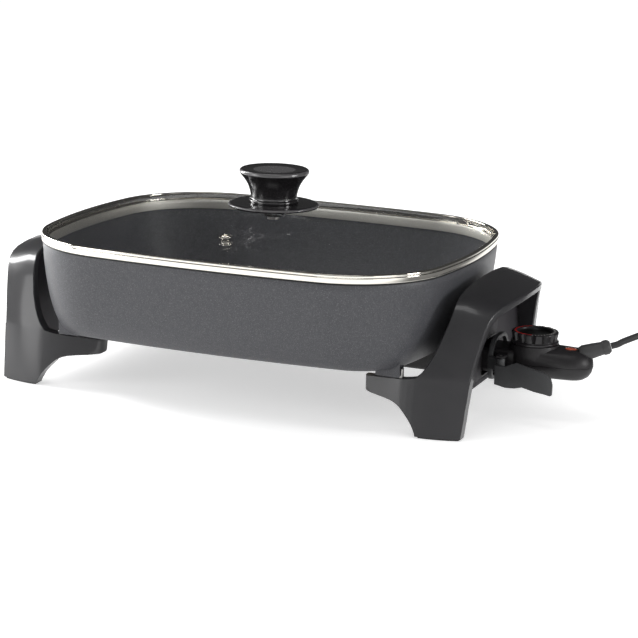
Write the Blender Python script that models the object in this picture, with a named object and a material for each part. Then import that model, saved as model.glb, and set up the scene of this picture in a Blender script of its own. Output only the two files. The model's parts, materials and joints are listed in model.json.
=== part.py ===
"""Electric skillet with a lift-off glass lid and a plug-in heat control.

Metres, +Z up, front at -Y. The origin is on the table, under the middle of the skillet and its control.
Everything is drawn from the pan's centre, and the root empty moves it to that origin.
"""

import math

import bmesh
import bpy
from mathutils import Matrix, Vector

# Clearances shared by every fit
GAP = 0.0003
RUN_GAP = 0.0005
CUT = 0.002

# Pan: bowed rectangle, cast wall
PAN_LENGTH = 0.412
PAN_WIDTH = 0.334
PAN_DEPTH = 0.0847
PAN_WALL = 0.0035
PAN_RIM_WALL = 0.0042
PAN_DRAFT = 0.030
LONG_SIDE_ARC = 1.480
SHORT_SIDE_ARC = 0.525
CORNER_RADIUS = 0.098
FLOOR_CORNER_RADIUS = 0.043
BOSS_RADIUS = 0.0050
BOSS_HEIGHT = 0.030
BOSS_FROM_ARM_END = 0.0395
BOSS_PAD_LENGTH = 0.0235
STAND_OFF = 0.0053
# Outside of the wall, rim to floor: share of the draft, share of the depth
WALL_SHARES = (
    (0.000, 0.000),
    (0.044, 0.200),
    (0.121, 0.400),
    (0.220, 0.570),
    (0.355, 0.730),
    (0.495, 0.845),
    (0.662, 0.935),
    (0.830, 0.985),
    (1.000, 1.000),
)
SHORT_STEPS = 3
CORNER_STEPS = 6
LONG_STEPS = 3
SHARP_ANGLE = math.radians(35)
FEW_ARC_STEPS = 3
MORE_ARC_STEPS = 5

# End frames: one bent strip from the front foot over the grip to the rear foot
ELBOW_Z = 0.0525
GRIP_BELOW_RIM = 0.0125
GRIP_CLEARANCE = 0.008
GRIP_WIDTH = 0.046
FOOT_TUCK = 0.0267
ARM_REACH = 0.080
FEET_HALF_WIDTH = 0.1192
LEG_THICKNESS = 0.0105
GRIP_THICKNESS = 0.0062
FRAME_EDGE = 0.0012
BOW_RADIUS = 0.099
BOW_APEX = 0.021
GRIP_CROWN_SHARE = 0.35
ACROSS_STEPS = 4
# Leg, foot to elbow: height, inner edge's reach inwards, outer edge's distance out, outer edge's flare
LEG_SHARES = (
    (0.000, 0.265, 0.931, 0.000),
    (0.095, 0.280, 0.924, 0.010),
    (0.229, 0.329, 0.912, 0.030),
    (0.381, 0.415, 0.899, 0.050),
    (0.514, 0.518, 0.889, 0.064),
    (0.581, 0.660, 0.883, 0.076),
    (0.596, 0.830, 0.881, 0.079),
    (0.617, 0.970, 0.880, 0.082),
    (0.676, 1.000, 0.876, 0.093),
    (0.867, 1.000, 0.859, 0.120),
    (0.914, 0.780, 0.854, 0.127),
    (0.962, 0.463, 0.849, 0.135),
    (1.000, 0.329, 0.846, 0.142),
)
# Elbow to the grip's middle: outer height, flare and distance, inner height, reach and distance, turn
GRIP_SHARES = (
    (0.071, 0.161, 0.836, 0.071, 0.256, 0.910, 0.00),
    (0.148, 0.198, 0.818, 0.148, 0.207, 0.892, 0.04),
    (0.265, 0.251, 0.794, 0.265, 0.151, 0.866, 0.08),
    (0.407, 0.326, 0.759, 0.407, 0.100, 0.831, 0.16),
    (0.574, 0.420, 0.711, 0.594, 0.049, 0.774, 0.29),
    (0.684, 0.513, 0.663, 0.735, 0.020, 0.726, 0.42),
    (0.761, 0.625, 0.596, 0.849, 0.006, 0.674, 0.60),
    (0.804, 0.738, 0.503, 0.920, 0.000, 0.596, 0.78),
    (0.830, 0.861, 0.378, 0.964, 0.000, 0.453, 0.90),
    (0.848, 0.959, 0.201, 0.991, 0.000, 0.243, 0.97),
    (0.858, 1.000, 0.000, 1.000, 0.000, 0.000, 1.00),
)
PANEL_STATION = 6
ARM_STATION = 10
ARM_END_STATION = 8
ARM_ROUND = 0.0085
ARM_ROUND_DEPTH = 0.0085

# Inner panels, foot pads and the screws through the arms
PANEL_SETBACK = 0.0045
PANEL_THICKNESS = 0.0035
FOOT_PAD = 0.0012
PAD_INSET = 0.0022
SCREW_RADIUS = 0.0020
SCREW_HEAD_RADIUS = 0.0034
SCREW_HEAD_HEIGHT = 0.0024
SCREW_SEAT = 0.0090
SCREW_BITE = 0.0075

# Heating element, its pins and the sensor's sleeve
ELEMENT_RADIUS = 0.0033
ELEMENT_FROM_END = 0.042
ELEMENT_LOOP_END = 0.078
ELEMENT_HALF_WIDTH = 0.072
ELEMENT_CORNER = 0.040
ELEMENT_TURN = 0.010
BEND_STEPS = 6
PIN_SPACING = 0.024
PIN_RADIUS = 0.0024
INSULATOR_RADIUS = 0.0045
INSULATOR_LENGTH = 0.007
SLEEVE_RADIUS = 0.0038
SLEEVE_LENGTH = 0.095
ROD_RADIUS = 0.0024
ROD_SHORT_OF_END = 0.006

# Socket guard
GUARD_HALF_WIDTH = 0.0235
GUARD_HALF_HEIGHT = 0.0175
GUARD_WALL = 0.0016
GUARD_CORNER = 0.0060
GUARD_DEPTH = 0.027
TROUGH_LENGTH = 0.058
TROUGH_BELOW_PAN = 0.0013

# Lid
LID_OVERHANG = 0.001
BAND_HEIGHT = 0.0079
BAND_SHEET = 0.0009
BAND_ROUND = 0.0012
BAND_LIP = 0.0040
SKIRT_CLEARANCE = 0.0008
SKIRT_DROP = 0.0085
GLASS_THICKNESS = 0.0050
DOME_RISE = 0.0225
DOME_POWER_SHARE = 1.7
DOME_SHARES = (0.940, 0.820, 0.670, 0.500, 0.320, 0.150)
ROUND_SHARE = 0.5
GLASS_HOLE = 0.0042
VENT_X = -0.002
VENT_Y = -0.105
VENT_FLANGE_RADIUS = 0.0062
VENT_NECK_RADIUS = 0.0036
VENT_HOLE_RADIUS = 0.0021
VENT_FLANGE = 0.0008
VENT_RING = 0.0016

# Knob stack
GASKET_RADIUS = 0.0140
GASKET_THICKNESS = 0.0019
DISC_RADIUS = 0.0436
DISC_THICKNESS = 0.0036
KNOB_RADIUS = 0.0335
KNOB_HEIGHT = 0.0326
KNOB_SCREW_RADIUS = 0.0024
KNOB_SCREW_HEAD_RADIUS = 0.0058
KNOB_SCREW_HEAD_HEIGHT = 0.0030
KNOB_SCREW_BITE = 0.0140
WASHER_RADIUS = 0.0095
WASHER_THICKNESS = 0.0015
ROUND_STEPS = 28
MIDDLE_STEPS = 20
SMALL_STEPS = 14
# Edge of the disc: share of the radius, share of the thickness
DISC_SHARES = ((0.975, 0.00), (1.000, 0.28), (0.995, 0.62), (0.930, 0.88), (0.600, 1.00))
# Knob's side from its foot up: share of the radius, share of the height
KNOB_SHARES = (
    (0.700, 0.000),
    (0.705, 0.080),
    (0.663, 0.125),
    (0.675, 0.270),
    (0.730, 0.470),
    (0.825, 0.650),
    (0.930, 0.790),
    (0.990, 0.865),
    (1.000, 0.910),
    (0.985, 0.965),
    (0.930, 1.000),
    (0.860, 0.985),
)

# Probe pod: two round ends joined, with a rounded edge
POD_GAP = 0.0197
POD_FRONT_RADIUS = 0.0240
POD_REAR_RADIUS = 0.0200
POD_SPACING = 0.0363
POD_HEIGHT = 0.0275
POD_WALL = 0.0022
POD_EDGE = 0.0090
POD_DROP = 0.0127
POD_ROUND_STEPS = 11
# Pod's side from the bottom up: share of the edge, share of the height; the split is between the two lists
LOWER_SHARES = ((1.350, 0.000), (0.850, 0.040), (0.450, 0.125), (0.160, 0.270), (0.000, 0.480))
UPPER_SHARES = ((0.000, 0.480), (0.050, 0.640), (0.230, 0.800), (0.560, 0.920), (1.100, 1.000))
NOSE_HALF_WIDTH = 0.0190
NOSE_HALF_HEIGHT = 0.0115
NOSE_CORNER = 0.0040
NOSE_INSIDE = 0.0120
NOSE_ENTRY = 0.0130
CONTACT_WALL = 0.0010
CONTACT_LENGTH = 0.020
CONTACT_RECESS = 0.002

# Dial
DIAL_RADIUS = 0.0200
DIAL_SKIRT_RADIUS = 0.0222
DIAL_HEIGHT = 0.0112
DIAL_SEAT_RADIUS = 0.0226
DIAL_SEAT_HEIGHT = 0.0022
DIAL_SLOTS = 14
STEPS_PER_SLOT = 3
DIAL_SLOT_WIDTH = 0.0024
DIAL_SLOT_DEPTH = 0.0012
SHAFT_RADIUS = 0.0030
SHAFT_IN_DIAL = 0.0060
# Dial's outside from its foot up, then its recess: share of the radius, share of the height
DIAL_SHARES = ((1.010, 0.230), (0.995, 0.860), (0.965, 1.000), (0.790, 1.000), (0.760, 0.850))

# Indicator, thermostat and shell screws
LENS_HALF_LENGTH = 0.0042
LENS_HALF_WIDTH = 0.0030
LENS_PROUD = 0.0008
LENS_BELOW = 0.0010
LENS_FROM_REAR = 0.0188
LAMP_RADIUS = 0.0020
LAMP_LENGTH = 0.0045
BLOCK_LENGTH = 0.024
BLOCK_WIDTH = 0.018
BLOCK_HEIGHT = 0.0105
BLOCK_AHEAD = 0.0060
BLADE_THICKNESS = 0.0008
BLADE_WIDTH = 0.0050
BLADE_LENGTH = 0.0120
SHELL_SCREW_RADIUS = 0.0016
SHELL_SCREW_HEAD_RADIUS = 0.0028
SHELL_SCREW_HEAD_HEIGHT = 0.0020
SHELL_SCREW_FROM_REAR = 0.0240
SHELL_SCREW_SPACING = 0.015
SHELL_SCREW_SEAT = 0.0048
SHELL_BOSS_RADIUS = 0.0042
SHELL_SCREW_BITE = 0.0080

# Release lever: collar, lug on a pin, and a paddle
COLLAR_AHEAD = 0.0072
COLLAR_THICKNESS = 0.0040
COLLAR_CLEARANCE = 0.0027
COLLAR_WALL = 0.0036
COLLAR_ARCH = 0.0035
COLLAR_ROUND = 0.0140
LEVER_PIN_RADIUS = 0.0015
LEVER_PIN_OUT = 0.0105
LEVER_PIN_BACK = 0.0095
LEVER_LUG_RADIUS = 0.0040
LEVER_LUG_HALF = 0.0058
EAR_THICKNESS = 0.0025
EAR_HALF_WIDTH = 0.0040
EAR_WALL = 0.0010
PADDLE_THICKNESS = 0.0030
PADDLE_LENGTH = 0.0572
PADDLE_HEIGHT = 0.0256
PADDLE_SWEEP = 0.0090
PADDLE_DROP = 0.0209
PADDLE_AHEAD = 0.0035
# Paddle seen from the side: share of the length, lower and upper edge as shares of the height, sweep share
PADDLE_SHARES = (
    (0.000, 0.125, 0.824, 0.000),
    (0.180, 0.047, 0.820, 0.040),
    (0.270, 0.055, 0.926, 0.080),
    (0.355, 0.078, 1.000, 0.160),
    (0.480, 0.164, 0.957, 0.360),
    (0.690, 0.090, 0.880, 0.640),
    (0.890, 0.060, 0.805, 0.890),
    (0.970, 0.035, 0.650, 0.975),
    (1.000, 0.070, 0.440, 1.000),
)

# Strain relief, cord, coil, tie and plug
CORD_DIAMETER = 0.0060
RELIEF_LENGTH = 0.029
RELIEF_SUNK = 0.002
RELIEF_RADIUS = 0.0077
RELIEF_FROM_REAR = 0.0110
RELIEF_BELOW_TOP = 0.0027
RELIEF_YAW = math.radians(20)
RELIEF_PITCH = math.radians(17)
# Relief from its root: share of the radius, share of the length
RELIEF_SHARES = (
    (0.80, 0.00),
    (0.97, 0.12),
    (0.90, 0.45),
    (0.80, 0.70),
    (0.80, 0.74),
    (0.89, 0.78),
    (0.89, 0.90),
    (0.76, 0.96),
    (0.62, 1.00),
)
# The free stretch, from the relief down to the table; the first and last points come from what it meets
CORD_ROUTE = (
    (0.3455, 0.0150, 0.0780),
    (0.3562, 0.0250, 0.0822),
    (0.3655, 0.0410, 0.0845),
    (0.3735, 0.0620, 0.0785),
    (0.3790, 0.0820, 0.0620),
    (0.3830, 0.1000, 0.0405),
    (0.3865, 0.1170, 0.0210),
    (0.3895, 0.1340, 0.0085),
    (0.3911, 0.1500, 0.0043),
)
ROUTE_STEPS = 20
CORD_STEPS = 16
COIL_X = 0.4290
COIL_Y = 0.1700
COIL_RADIUS = 0.0330
COIL_TURNS = 3
COIL_PITCH = 0.0065
COIL_STEPS = 24
CLIMB_TURNS = 0.5
COIL_START = math.radians(180)
TAIL_LENGTH = 0.048
TAIL_SWING = 0.008
TAIL_STEPS = 5
TIE_THICKNESS = 0.0010
TIE_WIDTH = 0.008
TIE_SLACK = 0.0008
PLUG_WIDTH = 0.0260
PLUG_THICKNESS = 0.0190
PLUG_LENGTH = 0.0480
PLUG_CORNER = 0.0060
ROUNDEST_SHARE = 0.98
# Plug from its neck: share of the length, share of the width, share of the thickness
PLUG_SHARES = (
    (0.00, 0.32, 0.44),
    (0.22, 0.38, 0.52),
    (0.34, 0.62, 0.74),
    (0.50, 0.94, 0.96),
    (0.90, 1.00, 1.00),
    (1.00, 0.92, 0.88),
)
BLADE_OUT = 0.0170
BLADE_TALL = 0.0064
BLADE_THIN = 0.0015
BLADE_SPACING = 0.0127

# Places worked out from the sizes above
LEG_BOTTOM = FOOT_PAD + GAP
HALF_LENGTH = PAN_LENGTH / 2
HALF_WIDTH = PAN_WIDTH / 2
PAN_FLOOR = ELBOW_Z + STAND_OFF
PAN_RIM = PAN_FLOOR + PAN_DEPTH
FRAME_TOP = PAN_RIM - GRIP_BELOW_RIM
GRIP_INNER = HALF_LENGTH + GRIP_CLEARANCE
GRIP_OUTER = GRIP_INNER + GRIP_WIDTH
FOOT_OUTER = GRIP_OUTER - FOOT_TUCK
APEX_X = GRIP_INNER - BOW_APEX
ARM_END = GRIP_INNER - ARM_REACH
BOSS_X = ARM_END + BOSS_FROM_ARM_END
PANEL_BACK = GRIP_INNER + PANEL_SETBACK
PANEL_FACE = PANEL_BACK + PANEL_THICKNESS
AXIS_Z = PAN_FLOOR - SLEEVE_RADIUS - GAP
ELEMENT_END = HALF_LENGTH - ELEMENT_FROM_END
GUARD_BACK = PANEL_FACE - GUARD_DEPTH
SLEEVE_END = GUARD_BACK + GUARD_WALL
SLEEVE_BORE = ROD_RADIUS + RUN_GAP
NOSE_TIP = PANEL_FACE - NOSE_ENTRY
POD_FRONT = PANEL_FACE + POD_GAP
NOSE_BACK = POD_FRONT + NOSE_INSIDE
DIAL_X = POD_FRONT + POD_FRONT_RADIUS
REAR_X = DIAL_X + POD_SPACING
POD_REAR = REAR_X + POD_REAR_RADIUS
POD_BOTTOM = AXIS_Z - POD_DROP
POD_TOP = POD_BOTTOM + POD_HEIGHT
BAND_BOTTOM = PAN_RIM + GAP
BAND_LEDGE = LID_OVERHANG + PAN_RIM_WALL + SKIRT_CLEARANCE
GLASS_EDGE = BAND_BOTTOM + BAND_SHEET + GAP + GLASS_THICKNESS
GLASS_CENTRE = GLASS_EDGE + DOME_RISE
DISC_BOTTOM = GLASS_CENTRE + GAP + GASKET_THICKNESS + GAP
KNOB_BOTTOM = DISC_BOTTOM + DISC_THICKNESS + GAP
WASHER_TOP = GLASS_CENTRE - GLASS_THICKNESS - GAP
CONTACT_BORE = PIN_RADIUS + RUN_GAP
CONTACT_RADIUS = CONTACT_BORE + CONTACT_WALL
COLLAR_X = PANEL_FACE + COLLAR_AHEAD
LEVER_PIN_X = COLLAR_X + COLLAR_THICKNESS + LEVER_PIN_BACK
LEVER_PIN_Y = -(NOSE_HALF_WIDTH + LEVER_PIN_OUT)
CORD_RADIUS = CORD_DIAMETER / 2
COIL_Z = TIE_THICKNESS + GAP + CORD_RADIUS
COIL_OUTER = COIL_RADIUS + COIL_PITCH * COIL_TURNS / 4
COIL_INNER = COIL_OUTER - COIL_PITCH * COIL_TURNS / 2
ROOT_X = (GRIP_OUTER - POD_REAR) / 2

PLACES = {}
# Name, side and end of each quarter: +1 is right, and +1 is front
QUARTERS = (("front_right", 1, 1), ("rear_right", 1, -1), ("front_left", -1, 1), ("rear_left", -1, -1))
# Name and direction in Y of each one of a pair
PAIR = (("front", -1), ("rear", 1))


def clear_scene():
    for obj in list(bpy.data.objects):
        bpy.data.objects.remove(obj, do_unlink=True)


def material(name, colour, roughness, metallic=0.0, alpha=1.0):
    finish = bpy.data.materials.new(name)
    finish.use_nodes = True
    shader = finish.node_tree.nodes["Principled BSDF"]
    shader.inputs["Base Color"].default_value = (*colour, 1.0)
    shader.inputs["Roughness"].default_value = roughness
    shader.inputs["Metallic"].default_value = metallic
    shader.inputs["Alpha"].default_value = alpha
    return finish


def empty(name, place, parent=None):
    """An empty that carries a moving body, standing on that body's axis."""
    holder = bpy.data.objects.new(name, None)
    bpy.context.collection.objects.link(holder)
    holder.parent = parent
    PLACES[name] = Vector(place)
    holder.location = PLACES[name] - (PLACES[parent.name] if parent else Vector())
    return holder


def piece(name, mesh, finish, holder):
    """Turns a bmesh drawn from the pan's centre into an object that hangs on its holder."""
    bmesh.ops.recalc_face_normals(mesh, faces=mesh.faces)
    bmesh.ops.translate(mesh, verts=mesh.verts, vec=-PLACES[holder.name])
    data = bpy.data.meshes.new(name)
    mesh.to_mesh(data)
    mesh.free()
    data.shade_smooth()
    data.set_sharp_from_angle(angle=SHARP_ANGLE)
    obj = bpy.data.objects.new(name, data)
    obj.parent = holder
    if finish:
        data.materials.append(finish)
    bpy.context.collection.objects.link(obj)
    return obj


def tool(name, mesh, holder):
    """A cutter or a joined shape, kept out of renders."""
    obj = piece(name, mesh, None, holder)
    obj.hide_render = True
    obj.display_type = "WIRE"
    return obj


def combine(obj, other, operation):
    modifier = obj.modifiers.new(other.name, "BOOLEAN")
    modifier.operation = operation
    modifier.solver = "EXACT"
    modifier.object = other


def tube(name, points, radius, finish, holder, resolution=2):
    """A round tube along a list of points, closed at both ends."""
    curve = bpy.data.curves.new(name, "CURVE")
    curve.dimensions = "3D"
    curve.bevel_depth = radius
    curve.bevel_resolution = resolution
    curve.use_fill_caps = True
    spline = curve.splines.new("POLY")
    spline.points.add(len(points) - 1)
    for slot, point in zip(spline.points, points):
        slot.co = (*(Vector(point) - PLACES[holder.name]), 1.0)
    spline.use_smooth = True
    curve.materials.append(finish)
    obj = bpy.data.objects.new(name, curve)
    obj.parent = holder
    bpy.context.collection.objects.link(obj)
    return obj


def skin(mesh, rings, closed=False):
    """Faces between rings of equal length; the two ends are capped unless the rings close on themselves."""
    rows = [[mesh.verts.new(point) for point in ring] for ring in rings]
    pairs = list(zip(rows, rows[1:]))
    if closed:
        pairs.append((rows[-1], rows[0]))
    else:
        mesh.faces.new(rows[0])
        mesh.faces.new(rows[-1])
    for lower, upper in pairs:
        for i in range(len(lower)):
            j = (i + 1) % len(lower)
            mesh.faces.new((lower[i], lower[j], upper[j], upper[i]))
    return mesh


def loft(rings, closed=False):
    return skin(bmesh.new(), rings, closed)


def turned(mesh, profile, steps, matrix):
    """A profile of radius and height turned round the matrix's Z; a radius of zero closes on the axis."""
    rows = []
    for radius, height in profile:
        count = steps if radius > 0 else 1
        turns = [2 * math.pi * i / steps for i in range(count)]
        ring = [Vector((radius * math.cos(t), radius * math.sin(t), height)) for t in turns]
        rows.append([mesh.verts.new(matrix @ point) for point in ring])
    for lower, upper in zip(rows, rows[1:] + rows[:1]):
        if len(lower) == len(upper) == 1:
            continue
        for i in range(steps):
            j = (i + 1) % steps
            low_pair = (lower[i % len(lower)], lower[j % len(lower)])
            high_pair = (upper[j % len(upper)], upper[i % len(upper)])
            mesh.faces.new(list(dict.fromkeys(low_pair + high_pair)))
    return mesh


def upright(x, y, z):
    return Matrix.Translation((x, y, z))


def aimed(place, direction):
    return Matrix.Translation(place) @ Vector(direction).to_track_quat("Z", "Y").to_matrix().to_4x4()


def rod(mesh, place, direction, radius, length, steps=SMALL_STEPS):
    profile = ((0, 0), (radius, 0), (radius, length), (0, length))
    return turned(mesh, profile, steps, aimed(place, direction))


def ring_profile(bore, radius, low, high):
    return ((bore, low), (radius, low), (radius, high), (bore, high))


def box(mesh, low, high):
    made = bmesh.ops.create_cube(mesh, size=1)["verts"]
    low, high = Vector(low), Vector(high)
    bmesh.ops.scale(mesh, verts=made, vec=high - low)
    bmesh.ops.translate(mesh, verts=made, vec=(low + high) / 2)
    return mesh


def between(first, second, share):
    return first + (second - first) * share


def smooth_share(share):
    """A share from 0 to 1 that starts and ends gently."""
    share = min(max(share, 0), 1)
    return share * share * (3 - 2 * share)


def inner_profile(profile, walls):
    """A profile of inset and height moved inwards by its wall, along its own normal."""
    moved = []
    for k, (inset, height) in enumerate(profile):
        before = profile[max(k - 1, 0)]
        after = profile[min(k + 1, len(profile) - 1)]
        run, drop = after[0] - before[0], after[1] - before[1]
        length = math.hypot(run, drop)
        side = 1 if drop < 0 else -1
        moved.append((inset - side * drop / length * walls[k], height + side * run / length * walls[k]))
    return moved


def plan(inset, corner=None):
    """The pan's outline moved in by an inset: four shallow arcs joined by four corner arcs."""
    long_arc, short_arc = LONG_SIDE_ARC - inset, SHORT_SIDE_ARC - inset
    corner = corner or CORNER_RADIUS - inset
    long_centre = Vector((0, HALF_WIDTH - inset - long_arc))
    short_centre = Vector((HALF_LENGTH - inset - short_arc, 0))
    span = short_centre - long_centre
    along = ((long_arc - corner) ** 2 - (short_arc - corner) ** 2 + span.length_squared) / (2 * span.length)
    aside = math.sqrt((long_arc - corner) ** 2 - along**2)
    foot = long_centre + span.normalized() * along
    offset = Vector((-span.y, span.x)).normalized() * aside
    corner_centre = max(foot + offset, foot - offset, key=lambda p: p.x + p.y)
    short_end = math.atan2(*(corner_centre - short_centre).yx)
    long_end = math.atan2(*(corner_centre - long_centre).yx)
    arcs = (
        (short_centre, short_arc, 0, short_end, SHORT_STEPS),
        (corner_centre, corner, short_end, long_end, CORNER_STEPS),
        (long_centre, long_arc, long_end, math.pi / 2, LONG_STEPS),
    )
    quarter = []
    for centre, radius, first, last, steps in arcs:
        for i in range(steps):
            t = between(first, last, i / steps)
            quarter.append(centre + radius * Vector((math.cos(t), math.sin(t))))
    top = Vector((0, HALF_WIDTH - inset))
    right_half = [*quarter, top]
    left_half = [Vector((-p.x, p.y)) for p in reversed(quarter)]
    upper = right_half + left_half
    lower = [Vector((-p.x, -p.y)) for p in upper[1:-1]]
    return upper + lower


def ring_at(inset, height, corner=None):
    return [Vector((p.x, p.y, height)) for p in plan(inset, corner)]


def bow(x):
    return (x - APEX_X) ** 2 / (2 * BOW_RADIUS)


def stations():
    """The strip's edges from foot to grip in the right front quarter: outer point, inner point and turn."""
    rows = []
    for height, reach, distance, flare in LEG_SHARES:
        z = max(height * ELBOW_Z, LEG_BOTTOM)
        outer = Vector((FOOT_OUTER + flare * FOOT_TUCK, -distance * FEET_HALF_WIDTH, z))
        inner_x = GRIP_INNER - reach * ARM_REACH
        inner = Vector((inner_x, outer.y - bow(outer.x) + bow(inner_x), z))
        rows.append((outer, inner, 0))
    rise = FRAME_TOP - ELBOW_Z
    for out_z, flare, out_y, in_z, reach, in_y, turn in GRIP_SHARES:
        outer = Vector((FOOT_OUTER + flare * FOOT_TUCK, -out_y * FEET_HALF_WIDTH, ELBOW_Z + out_z * rise))
        inner = Vector((GRIP_INNER - reach * ARM_REACH, -in_y * FEET_HALF_WIDTH, ELBOW_Z + in_z * rise))
        rows.append((outer, inner, turn))
    return rows


STATIONS = stations()


def strip_point(station, across, depth):
    """A point of the strip: across runs from the inner to the outer edge, depth from the face inwards."""
    outer, inner, turn = STATIONS[station]
    angle = turn * math.pi / 2
    inwards = Vector((0, math.cos(angle), -math.sin(angle)))
    crown = (outer.x - inner.x) ** 2 * across * (1 - across) / (2 * BOW_RADIUS)
    crown *= between(1, GRIP_CROWN_SHARE, turn)
    return inner.lerp(outer, across) + inwards * (depth - crown)


def strip_thickness(station):
    return between(LEG_THICKNESS, GRIP_THICKNESS, STATIONS[station][2])


def strip_shares(station):
    """Where the strip's points lie across it, clear of its two rounded edges."""
    outer, inner, _ = STATIONS[station]
    edge = FRAME_EDGE / (outer - inner).length
    return [between(edge, 1 - edge, i / ACROSS_STEPS) for i in range(ACROSS_STEPS + 1)]


def strip_back(station, x, clearance):
    """The point of the strip's inner face at a place in X, on its flat facet."""
    depth = strip_thickness(station) + clearance
    points = [strip_point(station, share, depth) for share in strip_shares(station)]
    for before, after in zip(points, points[1:]):
        if x <= after.x:
            break
    return before.lerp(after, (x - before.x) / (after.x - before.x))


def placed(points, side, end):
    """Points of the right front quarter moved to a side (+1 right) and an end (+1 front)."""
    return [Vector((side * p.x, end * p.y, p.z)) for p in points]


def strip_section(station):
    thick = strip_thickness(station)
    shares = strip_shares(station)
    face = [strip_point(station, share, 0) for share in shares]
    outside = [strip_point(station, 1, FRAME_EDGE), strip_point(station, 1, thick - FRAME_EDGE)]
    back = [strip_point(station, share, thick) for share in reversed(shares)]
    inside = [strip_point(station, 0, thick - FRAME_EDGE), strip_point(station, 0, FRAME_EDGE)]
    return face + outside + back + inside


def arm_top(x):
    """Height of the arm's upper edge at a place along it."""
    for station in range(ARM_STATION, len(LEG_SHARES)):
        before, after = STATIONS[station - 1][1], STATIONS[station][1]
        if before.x <= x <= after.x:
            return between(before.z, after.z, (x - before.x) / (after.x - before.x))
    return ELBOW_Z


def oblong(first, last, radius):
    """A round-ended outline from one centre to another along X."""
    outline = []
    for centre, start in ((last, -1), (first, 1)):
        for i in range(MORE_ARC_STEPS + 1):
            t = (start / 2 + i / MORE_ARC_STEPS) * math.pi
            outline.append(Vector((centre.x + radius * math.cos(t), centre.y + radius * math.sin(t), 0)))
    return outline


def boss_places():
    middle = strip_back(ARM_STATION, BOSS_X, -LEG_THICKNESS / 2)
    return [(side * BOSS_X, end * middle.y) for _, side, end in QUARTERS]


ARM_UNDER_BOSS = arm_top(BOSS_X + BOSS_RADIUS)


def make_pan(finish, holder):
    outside = [(inset * PAN_DRAFT, PAN_RIM - drop * PAN_DEPTH) for inset, drop in WALL_SHARES]
    corners = [between(CORNER_RADIUS, FLOOR_CORNER_RADIUS, inset) for inset, _ in WALL_SHARES]
    last = len(outside) - 1
    walls = [between(PAN_RIM_WALL, PAN_WALL, k / last) for k in range(last + 1)]
    inside = inner_profile(outside, walls)
    inside[0] = (PAN_RIM_WALL, PAN_RIM + CUT)
    inside[-1] = (PAN_DRAFT, PAN_FLOOR + PAN_WALL)
    pan_rings = [ring_at(*row, corner) for row, corner in zip(outside, corners)]
    cavity_rings = []
    for (inset, _), (inner_inset, height), corner in zip(outside, inside, corners):
        cavity_rings.append(ring_at(inner_inset, height, corner + inset - inner_inset))
    pan = piece("pan", loft(pan_rings), finish, holder)
    bosses = bmesh.new()
    bores = bmesh.new()
    bottom = ARM_UNDER_BOSS + GAP
    for (_, side, _), (x, y) in zip(QUARTERS, boss_places()):
        places = sorted((x, x - side * BOSS_PAD_LENGTH))
        outline = oblong(*[Vector((place, y, 0)) for place in places], BOSS_RADIUS)
        heights = (bottom, PAN_FLOOR + BOSS_HEIGHT)
        skin(bosses, [[Vector((p.x, p.y, z)) for p in outline] for z in heights])
        rod(bores, (x, y, bottom - CUT), (0, 0, 1), SCREW_RADIUS + GAP, CUT + SCREW_BITE + RUN_GAP)
    combine(pan, tool("pan_boss_shapes", bosses, holder), "UNION")
    combine(pan, tool("pan_cavity_cutter", loft(cavity_rings), holder), "DIFFERENCE")
    combine(pan, tool("pan_bore_cutter", bores, holder), "DIFFERENCE")


def arm_end_waste():
    """Plan of what is cut from the outer corner of an arm's end."""
    corner = STATIONS[ARM_END_STATION][1]
    x = corner.x + ARM_ROUND
    start = Vector((x, corner.y - bow(corner.x) + bow(x) - GAP, 0))
    corner = Vector((corner.x, corner.y, 0))
    stop = corner + Vector((0, ARM_ROUND_DEPTH, 0))
    outline = []
    for i in range(MORE_ARC_STEPS + 1):
        share = i / MORE_ARC_STEPS
        outline.append(start.lerp(corner, share).lerp(corner.lerp(stop, share), share))
    outside = Vector((corner.x - CUT, start.y - CUT, 0))
    return outline + [Vector((outside.x, stop.y, 0)), outside, Vector((start.x, outside.y, 0))]


def make_end_frame(name, side, finish, holder):
    quarter = [strip_section(k) for k in range(len(STATIONS))]
    front = [placed(section, side, 1) for section in quarter]
    rear = [placed(section, side, -1) for section in reversed(quarter[:-1])]
    frame = piece(name, loft(front + rear), finish, holder)
    seat, top = ARM_UNDER_BOSS - SCREW_SEAT, ARM_UNDER_BOSS + CUT
    wide, narrow = SCREW_HEAD_RADIUS + GAP, SCREW_RADIUS + GAP
    stepped = ((0, 0), (wide, 0), (wide, seat), (narrow, seat), (narrow, top), (0, top))
    for (quarter_name, to_side, _), (x, y) in zip(QUARTERS, boss_places()):
        if to_side == side:
            hole = turned(bmesh.new(), stepped, SMALL_STEPS, upright(x, y, 0))
            combine(frame, tool(quarter_name + "_screw_hole", hole, holder), "DIFFERENCE")
    outline = arm_end_waste()
    for end in (1, -1):
        rings = [placed([Vector((p.x, p.y, z)) for p in outline], side, end) for z in (ELBOW_Z / 2, PAN_FLOOR)]
        combine(frame, tool(name + "_arm_end_cutter", loft(rings), holder), "DIFFERENCE")


def make_panel(name, side, finish, holder):
    """The upright panel inside a frame, cut to the strip's inner face."""
    rings = []
    for x in (PANEL_BACK, PANEL_FACE):
        edge = [strip_back(k, x, RUN_GAP) for k in range(PANEL_STATION, len(STATIONS))]
        front = placed(edge, side, 1)
        rear = placed(edge[:-1], side, -1)[::-1]
        rings.append([Vector((side * x, p.y, p.z)) for p in front + rear])
    return piece(name, loft(rings), finish, holder)


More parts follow.
